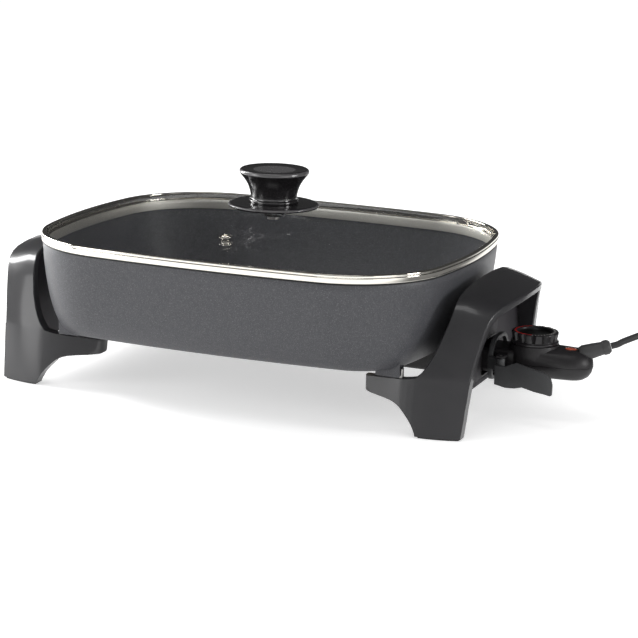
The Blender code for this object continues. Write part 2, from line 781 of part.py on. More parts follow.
def make_foot_pads(finish, holder):
    outer, inner, _ = STATIONS[0]
    inset = PAD_INSET / (outer.x - inner.x)
    shares = [between(inset, 1 - inset, i / ACROSS_STEPS) for i in range(ACROSS_STEPS + 1)]
    near = [strip_point(0, share, PAD_INSET) for share in shares]
    far = [strip_point(0, share, LEG_THICKNESS - PAD_INSET) for share in reversed(shares)]
    for name, side, end in QUARTERS:
        outline = placed(near + far, side, end)
        pad = loft([[Vector((p.x, p.y, z)) for p in outline] for z in (0, FOOT_PAD)])
        piece("foot_pad_" + name, pad, finish, holder)


def make_arm_screws(finish, holder):
    seat = ARM_UNDER_BOSS - SCREW_SEAT
    low = seat - GAP - SCREW_HEAD_HEIGHT
    high = ARM_UNDER_BOSS + GAP + SCREW_BITE
    head = ((0, low), (SCREW_HEAD_RADIUS, low), (SCREW_HEAD_RADIUS, seat - GAP))
    shank = ((SCREW_RADIUS, seat - GAP), (SCREW_RADIUS, high), (0, high))
    for (name, _, _), (x, y) in zip(QUARTERS, boss_places()):
        screw = turned(bmesh.new(), head + shank, SMALL_STEPS, upright(x, y, 0))
        piece("arm_screw_" + name, screw, finish, holder)


def rounded_path(corners, radii):
    """Corner points joined by straight runs, each inner corner rounded by its own radius."""
    path = [corners[0]]
    for before, corner, after, radius in zip(corners, corners[1:], corners[2:], radii):
        back, ahead = (before - corner).normalized(), (after - corner).normalized()
        half = back.angle(ahead) / 2
        centre = corner + (back + ahead).normalized() * (radius / math.sin(half))
        first, last = corner + back * radius / math.tan(half), corner + ahead * radius / math.tan(half)
        start, stop = (first - centre).normalized(), (last - centre).normalized()
        for i in range(BEND_STEPS + 1):
            path.append(centre + start.slerp(stop, i / BEND_STEPS) * radius)
    path.append(corners[-1])
    return path


def make_element(finish, holder):
    near, loop = ELEMENT_END, ELEMENT_END - ELEMENT_LOOP_END / 2
    far, wide, pin = -loop, ELEMENT_HALF_WIDTH, PIN_SPACING / 2
    plan_corners = ((near, pin), (loop, pin), (loop, wide), (far, wide))
    corners = [Vector((x, y, AXIS_Z)) for x, y in plan_corners]
    corners += [Vector((p.x, -p.y, p.z)) for p in reversed(corners)]
    radii = (ELEMENT_TURN, ELEMENT_CORNER, ELEMENT_CORNER, ELEMENT_CORNER, ELEMENT_CORNER, ELEMENT_TURN)
    tube("heating_element", rounded_path(corners, radii), ELEMENT_RADIUS, finish, holder, 1)


def make_pins(pin_finish, insulator_finish, sleeve_finish, holder):
    start = ELEMENT_END + GAP
    for name, end in PAIR:
        y = end * PIN_SPACING / 2
        pin = rod(bmesh.new(), (start, y, AXIS_Z), (1, 0, 0), PIN_RADIUS, PANEL_FACE - start)
        piece(name + "_terminal_pin", pin, pin_finish, holder)
        profile = ring_profile(PIN_RADIUS + GAP, INSULATOR_RADIUS, 0, INSULATOR_LENGTH)
        insulator = turned(bmesh.new(), profile, SMALL_STEPS, aimed((GUARD_BACK, y, AXIS_Z), (1, 0, 0)))
        piece(name + "_pin_insulator", insulator, insulator_finish, holder)
    start = SLEEVE_END - SLEEVE_LENGTH
    wall = SLEEVE_RADIUS - SLEEVE_BORE
    outside = ((0, 0), (SLEEVE_RADIUS, 0), (SLEEVE_RADIUS, SLEEVE_LENGTH))
    inside = ((SLEEVE_BORE, SLEEVE_LENGTH), (SLEEVE_BORE, wall), (0, wall))
    sleeve = turned(bmesh.new(), outside + inside, SMALL_STEPS, aimed((start, 0, AXIS_Z), (1, 0, 0)))
    piece("sensor_sleeve", sleeve, sleeve_finish, holder)


def rounded_rectangle(half_y, half_z, top_radius, bottom_radius, steps):
    """Y and Z of a rectangle about its centre, with round corners."""
    points = []
    centres = (
        (half_y - top_radius, half_z - top_radius, top_radius, 0),
        (top_radius - half_y, half_z - top_radius, top_radius, 1),
        (bottom_radius - half_y, bottom_radius - half_z, bottom_radius, 2),
        (half_y - bottom_radius, bottom_radius - half_z, bottom_radius, 3),
    )
    for y, z, radius, quarter in centres:
        for i in range(steps + 1):
            t = (quarter + i / steps) * math.pi / 2
            points.append((y + radius * math.cos(t), z + radius * math.sin(t)))
    return points


def across_x(outline, x, centre_z=AXIS_Z):
    return [Vector((x, y, centre_z + z)) for y, z in outline]


def guard_outline(extra):
    half_y, half_z, corner = (s + extra for s in (GUARD_HALF_WIDTH, GUARD_HALF_HEIGHT, GUARD_CORNER))
    return rounded_rectangle(half_y, half_z, corner, corner, MORE_ARC_STEPS)


def make_socket(guard_finish, panel, holder):
    thin = GUARD_WALL
    outer, inner, window = guard_outline(0), guard_outline(-thin), guard_outline(GAP)
    rings = [across_x(outer, GUARD_BACK), across_x(outer, PANEL_FACE)]
    rings += [across_x(inner, PANEL_FACE), across_x(inner, GUARD_BACK + thin)]
    guard = piece("socket_guard", loft(rings), guard_finish, holder)
    top = PAN_FLOOR - TROUGH_BELOW_PAN - AXIS_Z
    half = 2 * (MORE_ARC_STEPS + 1)
    trough = []
    for extra in (-GAP, -GAP - thin):
        bottom = guard_outline(extra)[half:]
        trough.append([(bottom[0][0], top), *bottom, (bottom[-1][0], top)])
    section = trough[0] + trough[1][::-1]
    rings = [across_x(section, x) for x in (GUARD_BACK - TROUGH_LENGTH, GUARD_BACK + thin / 2)]
    combine(guard, tool("guard_trough_shape", loft(rings), holder), "UNION")
    holes = bmesh.new()
    through = thin + 2 * CUT
    rod(holes, (GUARD_BACK - CUT, 0, AXIS_Z), (1, 0, 0), SLEEVE_RADIUS + GAP, through)
    for _, end in PAIR:
        y = end * PIN_SPACING / 2
        rod(holes, (GUARD_BACK - CUT, y, AXIS_Z), (1, 0, 0), INSULATOR_RADIUS + GAP, through)
    combine(guard, tool("guard_hole_cutter", holes, holder), "DIFFERENCE")
    cutter = loft([across_x(window, PANEL_BACK - CUT), across_x(window, PANEL_FACE + CUT)])
    combine(panel, tool("socket_window_cutter", cutter, holder), "DIFFERENCE")


def dome_height(share):
    """Height of the glass's top at a share of the way from the centre to the edge of the dome."""
    return GLASS_EDGE + DOME_RISE * (1 - share**DOME_POWER_SHARE)


def glass_ring(share, height):
    """The lid's outline shrunk by a share, turning into a circle towards the centre."""
    edge_inset = BAND_SHEET + GAP - LID_OVERHANG
    round_radius = HALF_WIDTH - edge_inset
    weight = smooth_share(share / ROUND_SHARE)
    ring = []
    for p in plan(edge_inset):
        circle = p.normalized() * round_radius
        q = circle.lerp(p, weight) * share
        ring.append(Vector((q.x, q.y, height)))
    return ring


def make_lid(glass_finish, steel_finish, gasket_finish, holder):
    low, high, sheet = BAND_BOTTOM, BAND_BOTTOM + BAND_HEIGHT, BAND_SHEET
    section = (
        (0, low),
        (0, high - BAND_ROUND),
        (BAND_ROUND, high),
        (BAND_LIP, high),
        (BAND_LIP, high - sheet),
        (sheet, high - sheet),
        (sheet, low + sheet),
        (BAND_LEDGE + sheet, low + sheet),
        (BAND_LEDGE + sheet, low - SKIRT_DROP),
        (BAND_LEDGE, low - SKIRT_DROP),
        (BAND_LEDGE, low),
    )
    band = loft([ring_at(inset - LID_OVERHANG, z) for inset, z in section], closed=True)
    piece("lid_rim", band, steel_finish, holder)

    lip_share = 1 - (BAND_LIP - BAND_SHEET) / HALF_WIDTH
    hole_share = GLASS_HOLE / (HALF_WIDTH + LID_OVERHANG - BAND_SHEET - GAP)
    rows = [(1, GLASS_EDGE), (lip_share, GLASS_EDGE)]
    rows += [(share, dome_height(share / lip_share)) for share in (*DOME_SHARES, hole_share)]
    top = [glass_ring(*row) for row in rows]
    bottom = [glass_ring(share, z - GLASS_THICKNESS) for share, z in reversed(rows)]
    glass = piece("lid_glass", loft(top + bottom, closed=True), glass_finish, holder)

    share = math.hypot(VENT_X, VENT_Y) / HALF_WIDTH
    slope = DOME_RISE * DOME_POWER_SHARE * share ** (DOME_POWER_SHARE - 1) / HALF_WIDTH
    outwards = Vector((VENT_X, VENT_Y, 0)).normalized()
    normal = (outwards * slope + Vector((0, 0, 1))).normalized()
    seat = Vector((VENT_X, VENT_Y, dome_height(share)))
    frame = aimed(seat, normal)
    hole = bmesh.new()
    through = GLASS_THICKNESS + 2 * CUT
    rod(hole, seat - normal * (GLASS_THICKNESS + CUT), normal, VENT_NECK_RADIUS + GAP, through)
    combine(glass, tool("vent_hole_cutter", hole, holder), "DIFFERENCE")
    above, below = RUN_GAP, -GLASS_THICKNESS - RUN_GAP
    eyelet = (
        (VENT_HOLE_RADIUS, below - VENT_FLANGE),
        (VENT_FLANGE_RADIUS, below - VENT_FLANGE),
        (VENT_FLANGE_RADIUS, below),
        (VENT_NECK_RADIUS, below),
        (VENT_NECK_RADIUS, above),
        (VENT_FLANGE_RADIUS, above),
        (VENT_FLANGE_RADIUS, above + VENT_FLANGE),
        (VENT_NECK_RADIUS, above + VENT_FLANGE),
        (VENT_NECK_RADIUS, above + VENT_RING),
        (VENT_HOLE_RADIUS, above + VENT_RING),
    )
    piece("vent_eyelet", turned(bmesh.new(), eyelet, SMALL_STEPS, frame), steel_finish, holder)

    bore = KNOB_SCREW_RADIUS + GAP
    low = GLASS_CENTRE + GAP
    profile = ring_profile(bore, GASKET_RADIUS, low, low + GASKET_THICKNESS)
    piece("knob_gasket", turned(bmesh.new(), profile, MIDDLE_STEPS, Matrix()), gasket_finish, holder)
    profile = ring_profile(bore, WASHER_RADIUS, WASHER_TOP - WASHER_THICKNESS, WASHER_TOP)
    piece("knob_washer", turned(bmesh.new(), profile, MIDDLE_STEPS, Matrix()), gasket_finish, holder)


def make_knob(knob_finish, disc_finish, screw_finish, holder):
    bore = KNOB_SCREW_RADIUS + GAP
    edge = [(r * DISC_RADIUS, DISC_BOTTOM + h * DISC_THICKNESS) for r, h in DISC_SHARES]
    disc = [(bore, DISC_BOTTOM), *edge, (bore, DISC_BOTTOM + DISC_THICKNESS)]
    piece("knob_base", turned(bmesh.new(), disc, ROUND_STEPS, Matrix()), disc_finish, holder)
    side = [(r * KNOB_RADIUS, KNOB_BOTTOM + h * KNOB_HEIGHT) for r, h in KNOB_SHARES]
    bore_top = KNOB_BOTTOM + KNOB_SCREW_BITE + RUN_GAP
    middle = [(0, side[-1][1]), (0, bore_top), (bore, bore_top), (bore, KNOB_BOTTOM)]
    piece("knob", turned(bmesh.new(), side + middle, ROUND_STEPS, Matrix()), knob_finish, holder)
    seat = WASHER_TOP - WASHER_THICKNESS - GAP
    top = KNOB_BOTTOM + KNOB_SCREW_BITE
    screw = (
        (0, seat - KNOB_SCREW_HEAD_HEIGHT),
        (KNOB_SCREW_HEAD_RADIUS, seat - KNOB_SCREW_HEAD_HEIGHT),
        (KNOB_SCREW_HEAD_RADIUS, seat),
        (KNOB_SCREW_RADIUS, seat),
        (KNOB_SCREW_RADIUS, top),
        (0, top),
    )
    piece("knob_screw", turned(bmesh.new(), screw, SMALL_STEPS, Matrix()), screw_finish, holder)


def pod_ring(inset, height):
    """The pod's outline at a height: the hull of its two round ends, moved in by an inset."""
    lean = math.acos((POD_FRONT_RADIUS - POD_REAR_RADIUS) / POD_SPACING)
    ends = (
        (REAR_X, POD_REAR_RADIUS - inset, -lean, lean),
        (DIAL_X, POD_FRONT_RADIUS - inset, lean, 2 * math.pi - lean),
    )
    ring = []
    for x, radius, first, last in ends:
        for i in range(POD_ROUND_STEPS + 1):
            t = between(first, last, i / POD_ROUND_STEPS)
            ring.append(Vector((x + radius * math.cos(t), radius * math.sin(t), height)))
    return ring


def shell_rings(shares):
    outside = [(edge * POD_EDGE, POD_BOTTOM + height * POD_HEIGHT) for edge, height in shares]
    return outside, inner_profile(outside, [POD_WALL] * len(outside))


def relief_axis():
    direction = Vector(
        (
            math.cos(RELIEF_YAW) * math.cos(RELIEF_PITCH),
            math.sin(RELIEF_YAW) * math.cos(RELIEF_PITCH),
            math.sin(RELIEF_PITCH),
        )
    )
    place = Vector((POD_REAR - RELIEF_FROM_REAR, 0, POD_TOP - RELIEF_BELOW_TOP))
    return place - direction * RELIEF_SUNK, direction


def relief_side(clearance):
    """The strain relief's side as radius and height, its two ends pushed out by the same clearance."""
    side = [[r * RELIEF_RADIUS + clearance, h * RELIEF_LENGTH] for r, h in RELIEF_SHARES]
    side[0][1] -= clearance
    side[-1][1] += clearance
    return side


def nose_outline(extra):
    half_y, half_z, corner = (s + extra for s in (NOSE_HALF_WIDTH, NOSE_HALF_HEIGHT, NOSE_CORNER))
    return rounded_rectangle(half_y, half_z, corner, corner, FEW_ARC_STEPS)


def make_shells(finish, screw_finish, lens_finish, lamp_finish, holder):
    outside, inside = shell_rings(LOWER_SHARES)
    inside[0] = (inside[0][0], POD_BOTTOM + POD_WALL)
    inside[-1] = (POD_WALL, outside[-1][1])
    rows = [pod_ring(*row) for row in outside + inside[::-1]]
    lower = piece("probe_lower_shell", loft(rows), finish, holder)
    outside, inside = shell_rings(UPPER_SHARES)
    split = outside[0][1] + GAP
    outside[0] = (outside[0][0], split)
    inside = [(POD_WALL, split), *inside[1:-1], (inside[-1][0], POD_TOP - POD_WALL)]
    rows = [pod_ring(*row) for row in outside[::-1] + inside]
    upper = piece("probe_upper_shell", loft(rows), finish, holder)

    bosses, posts, bores, wells = bmesh.new(), bmesh.new(), bmesh.new(), bmesh.new()
    floor = POD_BOTTOM + POD_WALL
    hang = split + GAP
    seat = POD_BOTTOM + SHELL_SCREW_SEAT
    low = seat - GAP - SHELL_SCREW_HEAD_HEIGHT
    head = ((0, low), (SHELL_SCREW_HEAD_RADIUS, low), (SHELL_SCREW_HEAD_RADIUS, seat - GAP))
    top = hang + SHELL_SCREW_BITE
    shank = ((SHELL_SCREW_RADIUS, seat - GAP), (SHELL_SCREW_RADIUS, top), (0, top))
    wide, narrow = SHELL_SCREW_HEAD_RADIUS + GAP, SHELL_SCREW_RADIUS + GAP
    start = POD_BOTTOM - CUT
    well = ((0, start), (wide, start), (wide, seat), (narrow, seat), (narrow, split), (0, split))
    for name, end in PAIR:
        x, y = POD_REAR - SHELL_SCREW_FROM_REAR, end * SHELL_SCREW_SPACING / 2
        screw = turned(bmesh.new(), head + shank, SMALL_STEPS, upright(x, y, 0))
        piece(name + "_shell_screw", screw, screw_finish, holder)
        rod(bosses, (x, y, hang), (0, 0, 1), SHELL_BOSS_RADIUS, POD_TOP - POD_WALL / 2 - hang)
        rod(bores, (x, y, hang - CUT), (0, 0, 1), SHELL_SCREW_RADIUS + GAP, CUT + SHELL_SCREW_BITE + GAP)
        start = POD_BOTTOM + POD_WALL / 2
        rod(posts, (x, y, start), (0, 0, 1), SHELL_BOSS_RADIUS, split - 2 * GAP - start)
        turned(wells, well, SMALL_STEPS, upright(x, y, 0))
    combine(upper, tool("shell_boss_shapes", bosses, holder), "UNION")
    combine(upper, tool("shell_bore_cutter", bores, holder), "DIFFERENCE")
    combine(lower, tool("shell_post_shapes", posts, holder), "UNION")
    combine(lower, tool("shell_well_cutter", wells, holder), "DIFFERENCE")

    outline = nose_outline(GAP)
    nose = loft([across_x(outline, POD_FRONT - CUT), across_x(outline, NOSE_BACK + GAP)])
    nose_cutter = tool("nose_seat_cutter", nose, holder)
    place, direction = relief_axis()
    profile = [(0, -GAP), *relief_side(GAP), (0, RELIEF_LENGTH + GAP)]
    relief = turned(bmesh.new(), profile, MIDDLE_STEPS, aimed(place, direction))
    relief_cutter = tool("relief_seat_cutter", relief, holder)
    for shell in (lower, upper):
        combine(shell, nose_cutter, "DIFFERENCE")
        combine(shell, relief_cutter, "DIFFERENCE")
    low = POD_TOP - POD_WALL
    tall = POD_WALL + DIAL_SEAT_HEIGHT
    seat = rod(bmesh.new(), (DIAL_X, 0, low), (0, 0, 1), DIAL_SEAT_RADIUS, tall, ROUND_STEPS)
    combine(upper, tool("dial_seat_shape", seat, holder), "UNION")
    shaft = rod(bmesh.new(), (DIAL_X, 0, low - CUT), (0, 0, 1), SHAFT_RADIUS + GAP, tall + 2 * CUT)
    combine(upper, tool("shaft_hole_cutter", shaft, holder), "DIFFERENCE")

    lens_x = POD_REAR - LENS_FROM_REAR
    lens_low = POD_TOP - POD_WALL - LENS_BELOW
    oval = Matrix.Diagonal((LENS_HALF_LENGTH / LENS_HALF_WIDTH, 1, 1, 1))
    radius = LENS_HALF_WIDTH
    high = POD_TOP + LENS_PROUD
    profile = ((0, lens_low), (radius, lens_low), (radius, POD_TOP), (radius / 2, high), (0, high))
    lens = turned(bmesh.new(), profile, MIDDLE_STEPS, upright(lens_x, 0, 0) @ oval)
    piece("indicator_lens", lens, lens_finish, holder)
    radius += GAP
    slot = ((0, lens_low - CUT), (radius, lens_low - CUT), (radius, high + CUT), (0, high + CUT))
    cutter = turned(bmesh.new(), slot, MIDDLE_STEPS, upright(lens_x, 0, 0) @ oval)
    combine(upper, tool("lens_seat_cutter", cutter, holder), "DIFFERENCE")
    lamp_z = lens_low - GAP - LAMP_RADIUS
    lamp = rod(bmesh.new(), (lens_x - LAMP_LENGTH, 0, lamp_z), (1, 0, 0), LAMP_RADIUS, LAMP_LENGTH)
    piece("indicator_lamp", lamp, lamp_finish, holder)
    return floor


def make_nose(finish, contact_finish, rod_finish, holder):
    outline = nose_outline(0)
    ends = [across_x(outline, NOSE_TIP), across_x(outline, NOSE_BACK)]
    nose = piece("probe_nose", loft(ends), finish, holder)
    ears = bmesh.new()
    lug_high = AXIS_Z + LEVER_LUG_HALF + GAP
    lug_low = AXIS_Z - LEVER_LUG_HALF - GAP
    far = LEVER_PIN_Y - LEVER_PIN_RADIUS - GAP - EAR_WALL
    near = -(NOSE_HALF_WIDTH - NOSE_CORNER)
    for low in (lug_high, lug_low - EAR_THICKNESS):
        box(
            ears,
            (LEVER_PIN_X - EAR_HALF_WIDTH, far, low),
            (LEVER_PIN_X + EAR_HALF_WIDTH, near, low + EAR_THICKNESS),
        )
    combine(nose, tool("nose_ear_shapes", ears, holder), "UNION")
    holes = bmesh.new()
    depth = CONTACT_RECESS + CONTACT_LENGTH + GAP
    profile = ring_profile(CONTACT_BORE, CONTACT_RADIUS, 0, CONTACT_LENGTH)
    for name, end in PAIR:
        y = end * PIN_SPACING / 2
        rod(holes, (NOSE_TIP - CUT, y, AXIS_Z), (1, 0, 0), CONTACT_RADIUS + GAP, CUT + depth)
        place = aimed((NOSE_TIP + CONTACT_RECESS, y, AXIS_Z), (1, 0, 0))
        piece(name + "_contact", turned(bmesh.new(), profile, SMALL_STEPS, place), contact_finish, holder)
    rod(holes, (NOSE_TIP - CUT, 0, AXIS_Z), (1, 0, 0), ROD_RADIUS + GAP, NOSE_BACK - NOSE_TIP + 2 * CUT)
    pin_low = lug_low - EAR_THICKNESS
    pin_length = lug_high + EAR_THICKNESS - pin_low
    pin_at = Vector((LEVER_PIN_X, LEVER_PIN_Y, pin_low))
    start = pin_at - Vector((0, 0, CUT))
    rod(holes, start, (0, 0, 1), LEVER_PIN_RADIUS + GAP, pin_length + 2 * CUT)
    combine(nose, tool("nose_hole_cutter", holes, holder), "DIFFERENCE")
    tip = SLEEVE_END - SLEEVE_LENGTH + ROD_SHORT_OF_END
    sensor = rod(bmesh.new(), (tip, 0, AXIS_Z), (1, 0, 0), ROD_RADIUS, NOSE_BACK - tip)
    piece("sensor_rod", sensor, rod_finish, holder)
    pin = rod(bmesh.new(), pin_at, (0, 0, 1), LEVER_PIN_RADIUS, pin_length)
    piece("lever_pin", pin, rod_finish, holder)


def make_thermostat(block_finish, blade_finish, floor, holder):
    low = floor + GAP
    start = DIAL_X - BLOCK_AHEAD
    block = box(
        bmesh.new(),
        (start, -BLOCK_WIDTH / 2, low),
        (start + BLOCK_LENGTH, BLOCK_WIDTH / 2, low + BLOCK_HEIGHT),
    )
    piece("thermostat_block", block, block_finish, holder)
    top = low + BLOCK_HEIGHT + GAP
    blade_start = start + BLOCK_LENGTH - BLADE_LENGTH
    blade = box(
        bmesh.new(),
        (blade_start, -BLADE_WIDTH / 2, top),
        (blade_start + BLADE_LENGTH, BLADE_WIDTH / 2, top + BLADE_THICKNESS),
    )
    piece("thermostat_blade", blade, blade_finish, holder)
    return top


def make_dial(dial_finish, shaft_finish, shaft_low, holder):
    low = POD_TOP + DIAL_SEAT_HEIGHT + GAP
    bore = SHAFT_RADIUS + GAP
    bore_top = low + SHAFT_IN_DIAL + GAP
    side = [(r * DIAL_RADIUS, low + h * DIAL_HEIGHT) for r, h in DIAL_SHARES]
    skirt = [(bore, low), (DIAL_SKIRT_RADIUS, low), (DIAL_SKIRT_RADIUS, side[0][1])]
    middle = [(0, side[-1][1]), (0, bore_top), (bore, bore_top)]
    body = turned(bmesh.new(), skirt + side + middle, STEPS_PER_SLOT * DIAL_SLOTS, upright(DIAL_X, 0, 0))
    dial = piece("dial", body, dial_finish, holder)
    slots = bmesh.new()
    bottom = side[0][1] + GAP
    for i in range(DIAL_SLOTS):
        slot = bmesh.new()
        box(
            slot,
            (DIAL_RADIUS - DIAL_SLOT_DEPTH, -DIAL_SLOT_WIDTH / 2, bottom),
            (DIAL_SKIRT_RADIUS + CUT, DIAL_SLOT_WIDTH / 2, low + DIAL_HEIGHT + CUT),
        )
        turn = upright(DIAL_X, 0, 0) @ Matrix.Rotation(2 * math.pi * i / DIAL_SLOTS, 4, "Z")
        bmesh.ops.transform(slot, matrix=turn, verts=slot.verts)
        data = bpy.data.meshes.new("slot")
        slot.to_mesh(data)
        slot.free()
        slots.from_mesh(data)
        bpy.data.meshes.remove(data)
    combine(dial, tool("dial_slot_cutter", slots, holder), "DIFFERENCE")
    top = low + SHAFT_IN_DIAL
    shaft = rod(bmesh.new(), (DIAL_X, 0, shaft_low), (0, 0, 1), SHAFT_RADIUS, top - shaft_low)
    piece("dial_shaft", shaft, shaft_finish, holder)


def make_lever(finish, holder):
    """Collar round the nose, lug on the pin and paddle, joined into one moulding."""
    clear, wall = COLLAR_CLEARANCE, COLLAR_WALL
    low = AXIS_Z - NOSE_HALF_HEIGHT - clear
    high = AXIS_Z + NOSE_HALF_HEIGHT + clear + COLLAR_ARCH
    centre, half_z = (low + high) / 2, (high - low) / 2
    half_y = NOSE_HALF_WIDTH + clear
    inner, outer = (
        rounded_rectangle(half_y + out, half_z + out, COLLAR_ROUND + out, NOSE_CORNER + out, MORE_ARC_STEPS)
        for out in (0, wall)
    )
    x0, x1 = COLLAR_X, COLLAR_X + COLLAR_THICKNESS
    rings = [across_x(outer, x0, centre), across_x(outer, x1, centre)]
    rings += [across_x(inner, x1, centre), across_x(inner, x0, centre)]
    lever = piece("release_lever", loft(rings, closed=True), finish, holder)
    half_lug = LEVER_LUG_HALF
    joints = bmesh.new()
    start = (LEVER_PIN_X, LEVER_PIN_Y, AXIS_Z - half_lug)
    rod(joints, start, (0, 0, 1), LEVER_LUG_RADIUS, 2 * half_lug, MIDDLE_STEPS)
    combine(lever, tool("lever_lug_shape", joints, holder), "UNION")
    # The web from the collar to the lug, a bent strip in plan
    near = -(half_y + wall / 2)
    web = ((x0 + GAP, near), (x1, near), (LEVER_PIN_X, LEVER_PIN_Y + LEVER_LUG_RADIUS / 2),
           (LEVER_PIN_X, LEVER_PIN_Y - LEVER_LUG_RADIUS / 2), (x0 + GAP, near - wall))
    heights = (AXIS_Z - half_lug + GAP, AXIS_Z + half_lug - GAP)
    strip = loft([[Vector((x, y, z)) for x, y in web] for z in heights])
    combine(lever, tool("lever_web_shape", strip, holder), "UNION")
    start = LEVER_PIN_X - PADDLE_AHEAD
    back = LEVER_PIN_Y - LEVER_LUG_RADIUS + PADDLE_THICKNESS / 4
    bottom = AXIS_Z - PADDLE_DROP
    rings = []
    for length, lower, upper, sweep in PADDLE_SHARES:
        x = start + length * PADDLE_LENGTH
        y = back - sweep * PADDLE_SWEEP
        z0, z1 = bottom + lower * PADDLE_HEIGHT, bottom + upper * PADDLE_HEIGHT
        face = y - PADDLE_THICKNESS
        rings.append([Vector((x, y, z0)), Vector((x, y, z1)), Vector((x, face, z1)), Vector((x, face, z0))])
    combine(lever, tool("lever_paddle_shape", loft(rings), holder), "UNION")
    hole = rod(
        bmesh.new(), (LEVER_PIN_X, LEVER_PIN_Y, AXIS_Z - half_lug - CUT), (0, 0, 1),
        LEVER_PIN_RADIUS + GAP, 2 * half_lug + 2 * CUT,
    )
    combine(lever, tool("lever_hole_cutter", hole, holder), "DIFFERENCE")


def smooth_path(points, count):
    """Even points on a smooth curve through the route, its first and last runs kept straight."""
    points = [Vector(p) for p in points]
    fine = []
    for a, b, c, d in zip(points, points[1:], points[2:], points[3:]):
        for i in range(ROUTE_STEPS):
            t = i / ROUTE_STEPS
            step = (c - a) * t + (a * 2 - b * 5 + c * 4 - d) * t**2 + (b * 3 - a - c * 3 + d) * t**3
            fine.append(b + step / 2)
    fine.append(points[-2])
    lengths = [0]
    for before, after in zip(fine, fine[1:]):
        lengths.append(lengths[-1] + (after - before).length)
    path, k = [], 0
    for i in range(count + 1):
        want = lengths[-1] * i / count
        while k < len(fine) - 2 and lengths[k + 1] < want:
            k += 1
        share = (want - lengths[k]) / (lengths[k + 1] - lengths[k])
        path.append(fine[k].lerp(fine[k + 1], min(share, 1)))
    return [points[0], *path, points[-1]]


def coil_point(turns):
    """A point of the coil: in and out again at a steady rate, climbing a layer where it reverses."""
    middle = COIL_TURNS / 2
    radius = COIL_INNER + COIL_PITCH * abs(turns - middle)
    climb = smooth_share((turns - middle) / CLIMB_TURNS + 1 / 2)
    angle = COIL_START - 2 * math.pi * turns
    x, y = radius * math.cos(angle), radius * math.sin(angle)
    return Vector((COIL_X + x, COIL_Y + y, COIL_Z + COIL_PITCH * climb))


def coil_path():
    count = COIL_TURNS * COIL_STEPS
    path = [coil_point(COIL_TURNS * i / count) for i in range(count + 1)]
    heading = Vector((math.sin(COIL_START), -math.cos(COIL_START), 0))
    return [path[0] - heading * CORD_DIAMETER, *path, path[-1] + heading * CORD_DIAMETER], heading


def least_gap(path):
    """Least gap of the coil to itself, between points at least half a turn apart along it."""
    skip = COIL_STEPS // 2
    pairs = ((a, b) for a in range(len(path)) for b in range(a + skip, len(path)))
    return min((path[a] - path[b]).length for a, b in pairs) - CORD_DIAMETER


def make_cord(relief_finish, cord_finish, tie_finish, plug_finish, blade_finish, holder):
    place, direction = relief_axis()
    profile = [(0, 0), *relief_side(0), (0, RELIEF_LENGTH)]
    relief = turned(bmesh.new(), profile, MIDDLE_STEPS, aimed(place, direction))
    piece("strain_relief", relief, relief_finish, holder)

    coil, heading = coil_path()
    start = place + direction * (RELIEF_LENGTH + GAP)
    end = coil[0] - heading * GAP
    first, last = start + direction * CORD_DIAMETER, end - heading * CORD_DIAMETER
    free = smooth_path((start, first, *CORD_ROUTE, last, end), CORD_STEPS)
    tube("cord", free, CORD_RADIUS, cord_finish, holder, 2)
    tube("cord_coil", coil, CORD_RADIUS, cord_finish, holder, 1)
    print("coil: least gap to itself %.2f mm" % (1000 * least_gap(coil)))

    tail_start = coil[-1] + heading * GAP
    aside = Vector((-TAIL_SWING, 0, 0))
    plug_z = PLUG_THICKNESS / 2
    tail_end = tail_start + heading * TAIL_LENGTH + aside
    tail_end.z = plug_z
    middle = (tail_start + tail_end) / 2
    first, last = tail_start + heading * CORD_DIAMETER, tail_end - heading * CORD_DIAMETER
    tail = smooth_path((tail_start, first, middle, last, tail_end), TAIL_STEPS)
    tube("cord_tail", tail, CORD_RADIUS, cord_finish, holder, 2)
    whole = sum((b - a).length for path in (free, coil, tail) for a, b in zip(path, path[1:]))
    print("cord: %.3f m in all" % whole)

    slack = CORD_RADIUS + TIE_SLACK
    near, far = COIL_INNER - slack, COIL_OUTER + slack
    top = COIL_Z + COIL_PITCH + CORD_RADIUS + GAP
    thick = TIE_THICKNESS
    outer = ((near - thick, 0), (far + thick, 0), (far + thick, top + thick), (near - thick, top + thick))
    inner = ((near, thick), (far, thick), (far, top), (near, top))
    rings = []
    for outline, end in ((outer, -1), (outer, 1), (inner, 1), (inner, -1)):
        rings.append([Vector((COIL_X + x, COIL_Y + end * TIE_WIDTH / 2, z)) for x, z in outline])
    piece("cord_tie", loft(rings, closed=True), tie_finish, holder)

    rings = []
    plug_at = tail_end + heading * GAP
    for length, width, height in PLUG_SHARES:
        half_w, half_h = width * PLUG_WIDTH / 2, height * PLUG_THICKNESS / 2
        corner = min(PLUG_CORNER, half_h * ROUNDEST_SHARE, half_w * ROUNDEST_SHARE)
        outline = rounded_rectangle(half_w, half_h, corner, corner, FEW_ARC_STEPS)
        rings.append([plug_at + heading * (length * PLUG_LENGTH) + Vector((y, 0, z)) for y, z in outline])
    piece("plug", loft(rings), plug_finish, holder)
    root = plug_at + heading * (PLUG_LENGTH + GAP)
    half = Vector((BLADE_THIN / 2, 0, BLADE_TALL / 2))
    for name, end in (("left", -1), ("right", 1)):
        place = root + Vector((end * BLADE_SPACING / 2, 0, 0))
        blade = box(bmesh.new(), place - half, place + heading * BLADE_OUT + half)
        piece(name + "_plug_blade", blade, blade_finish, holder)


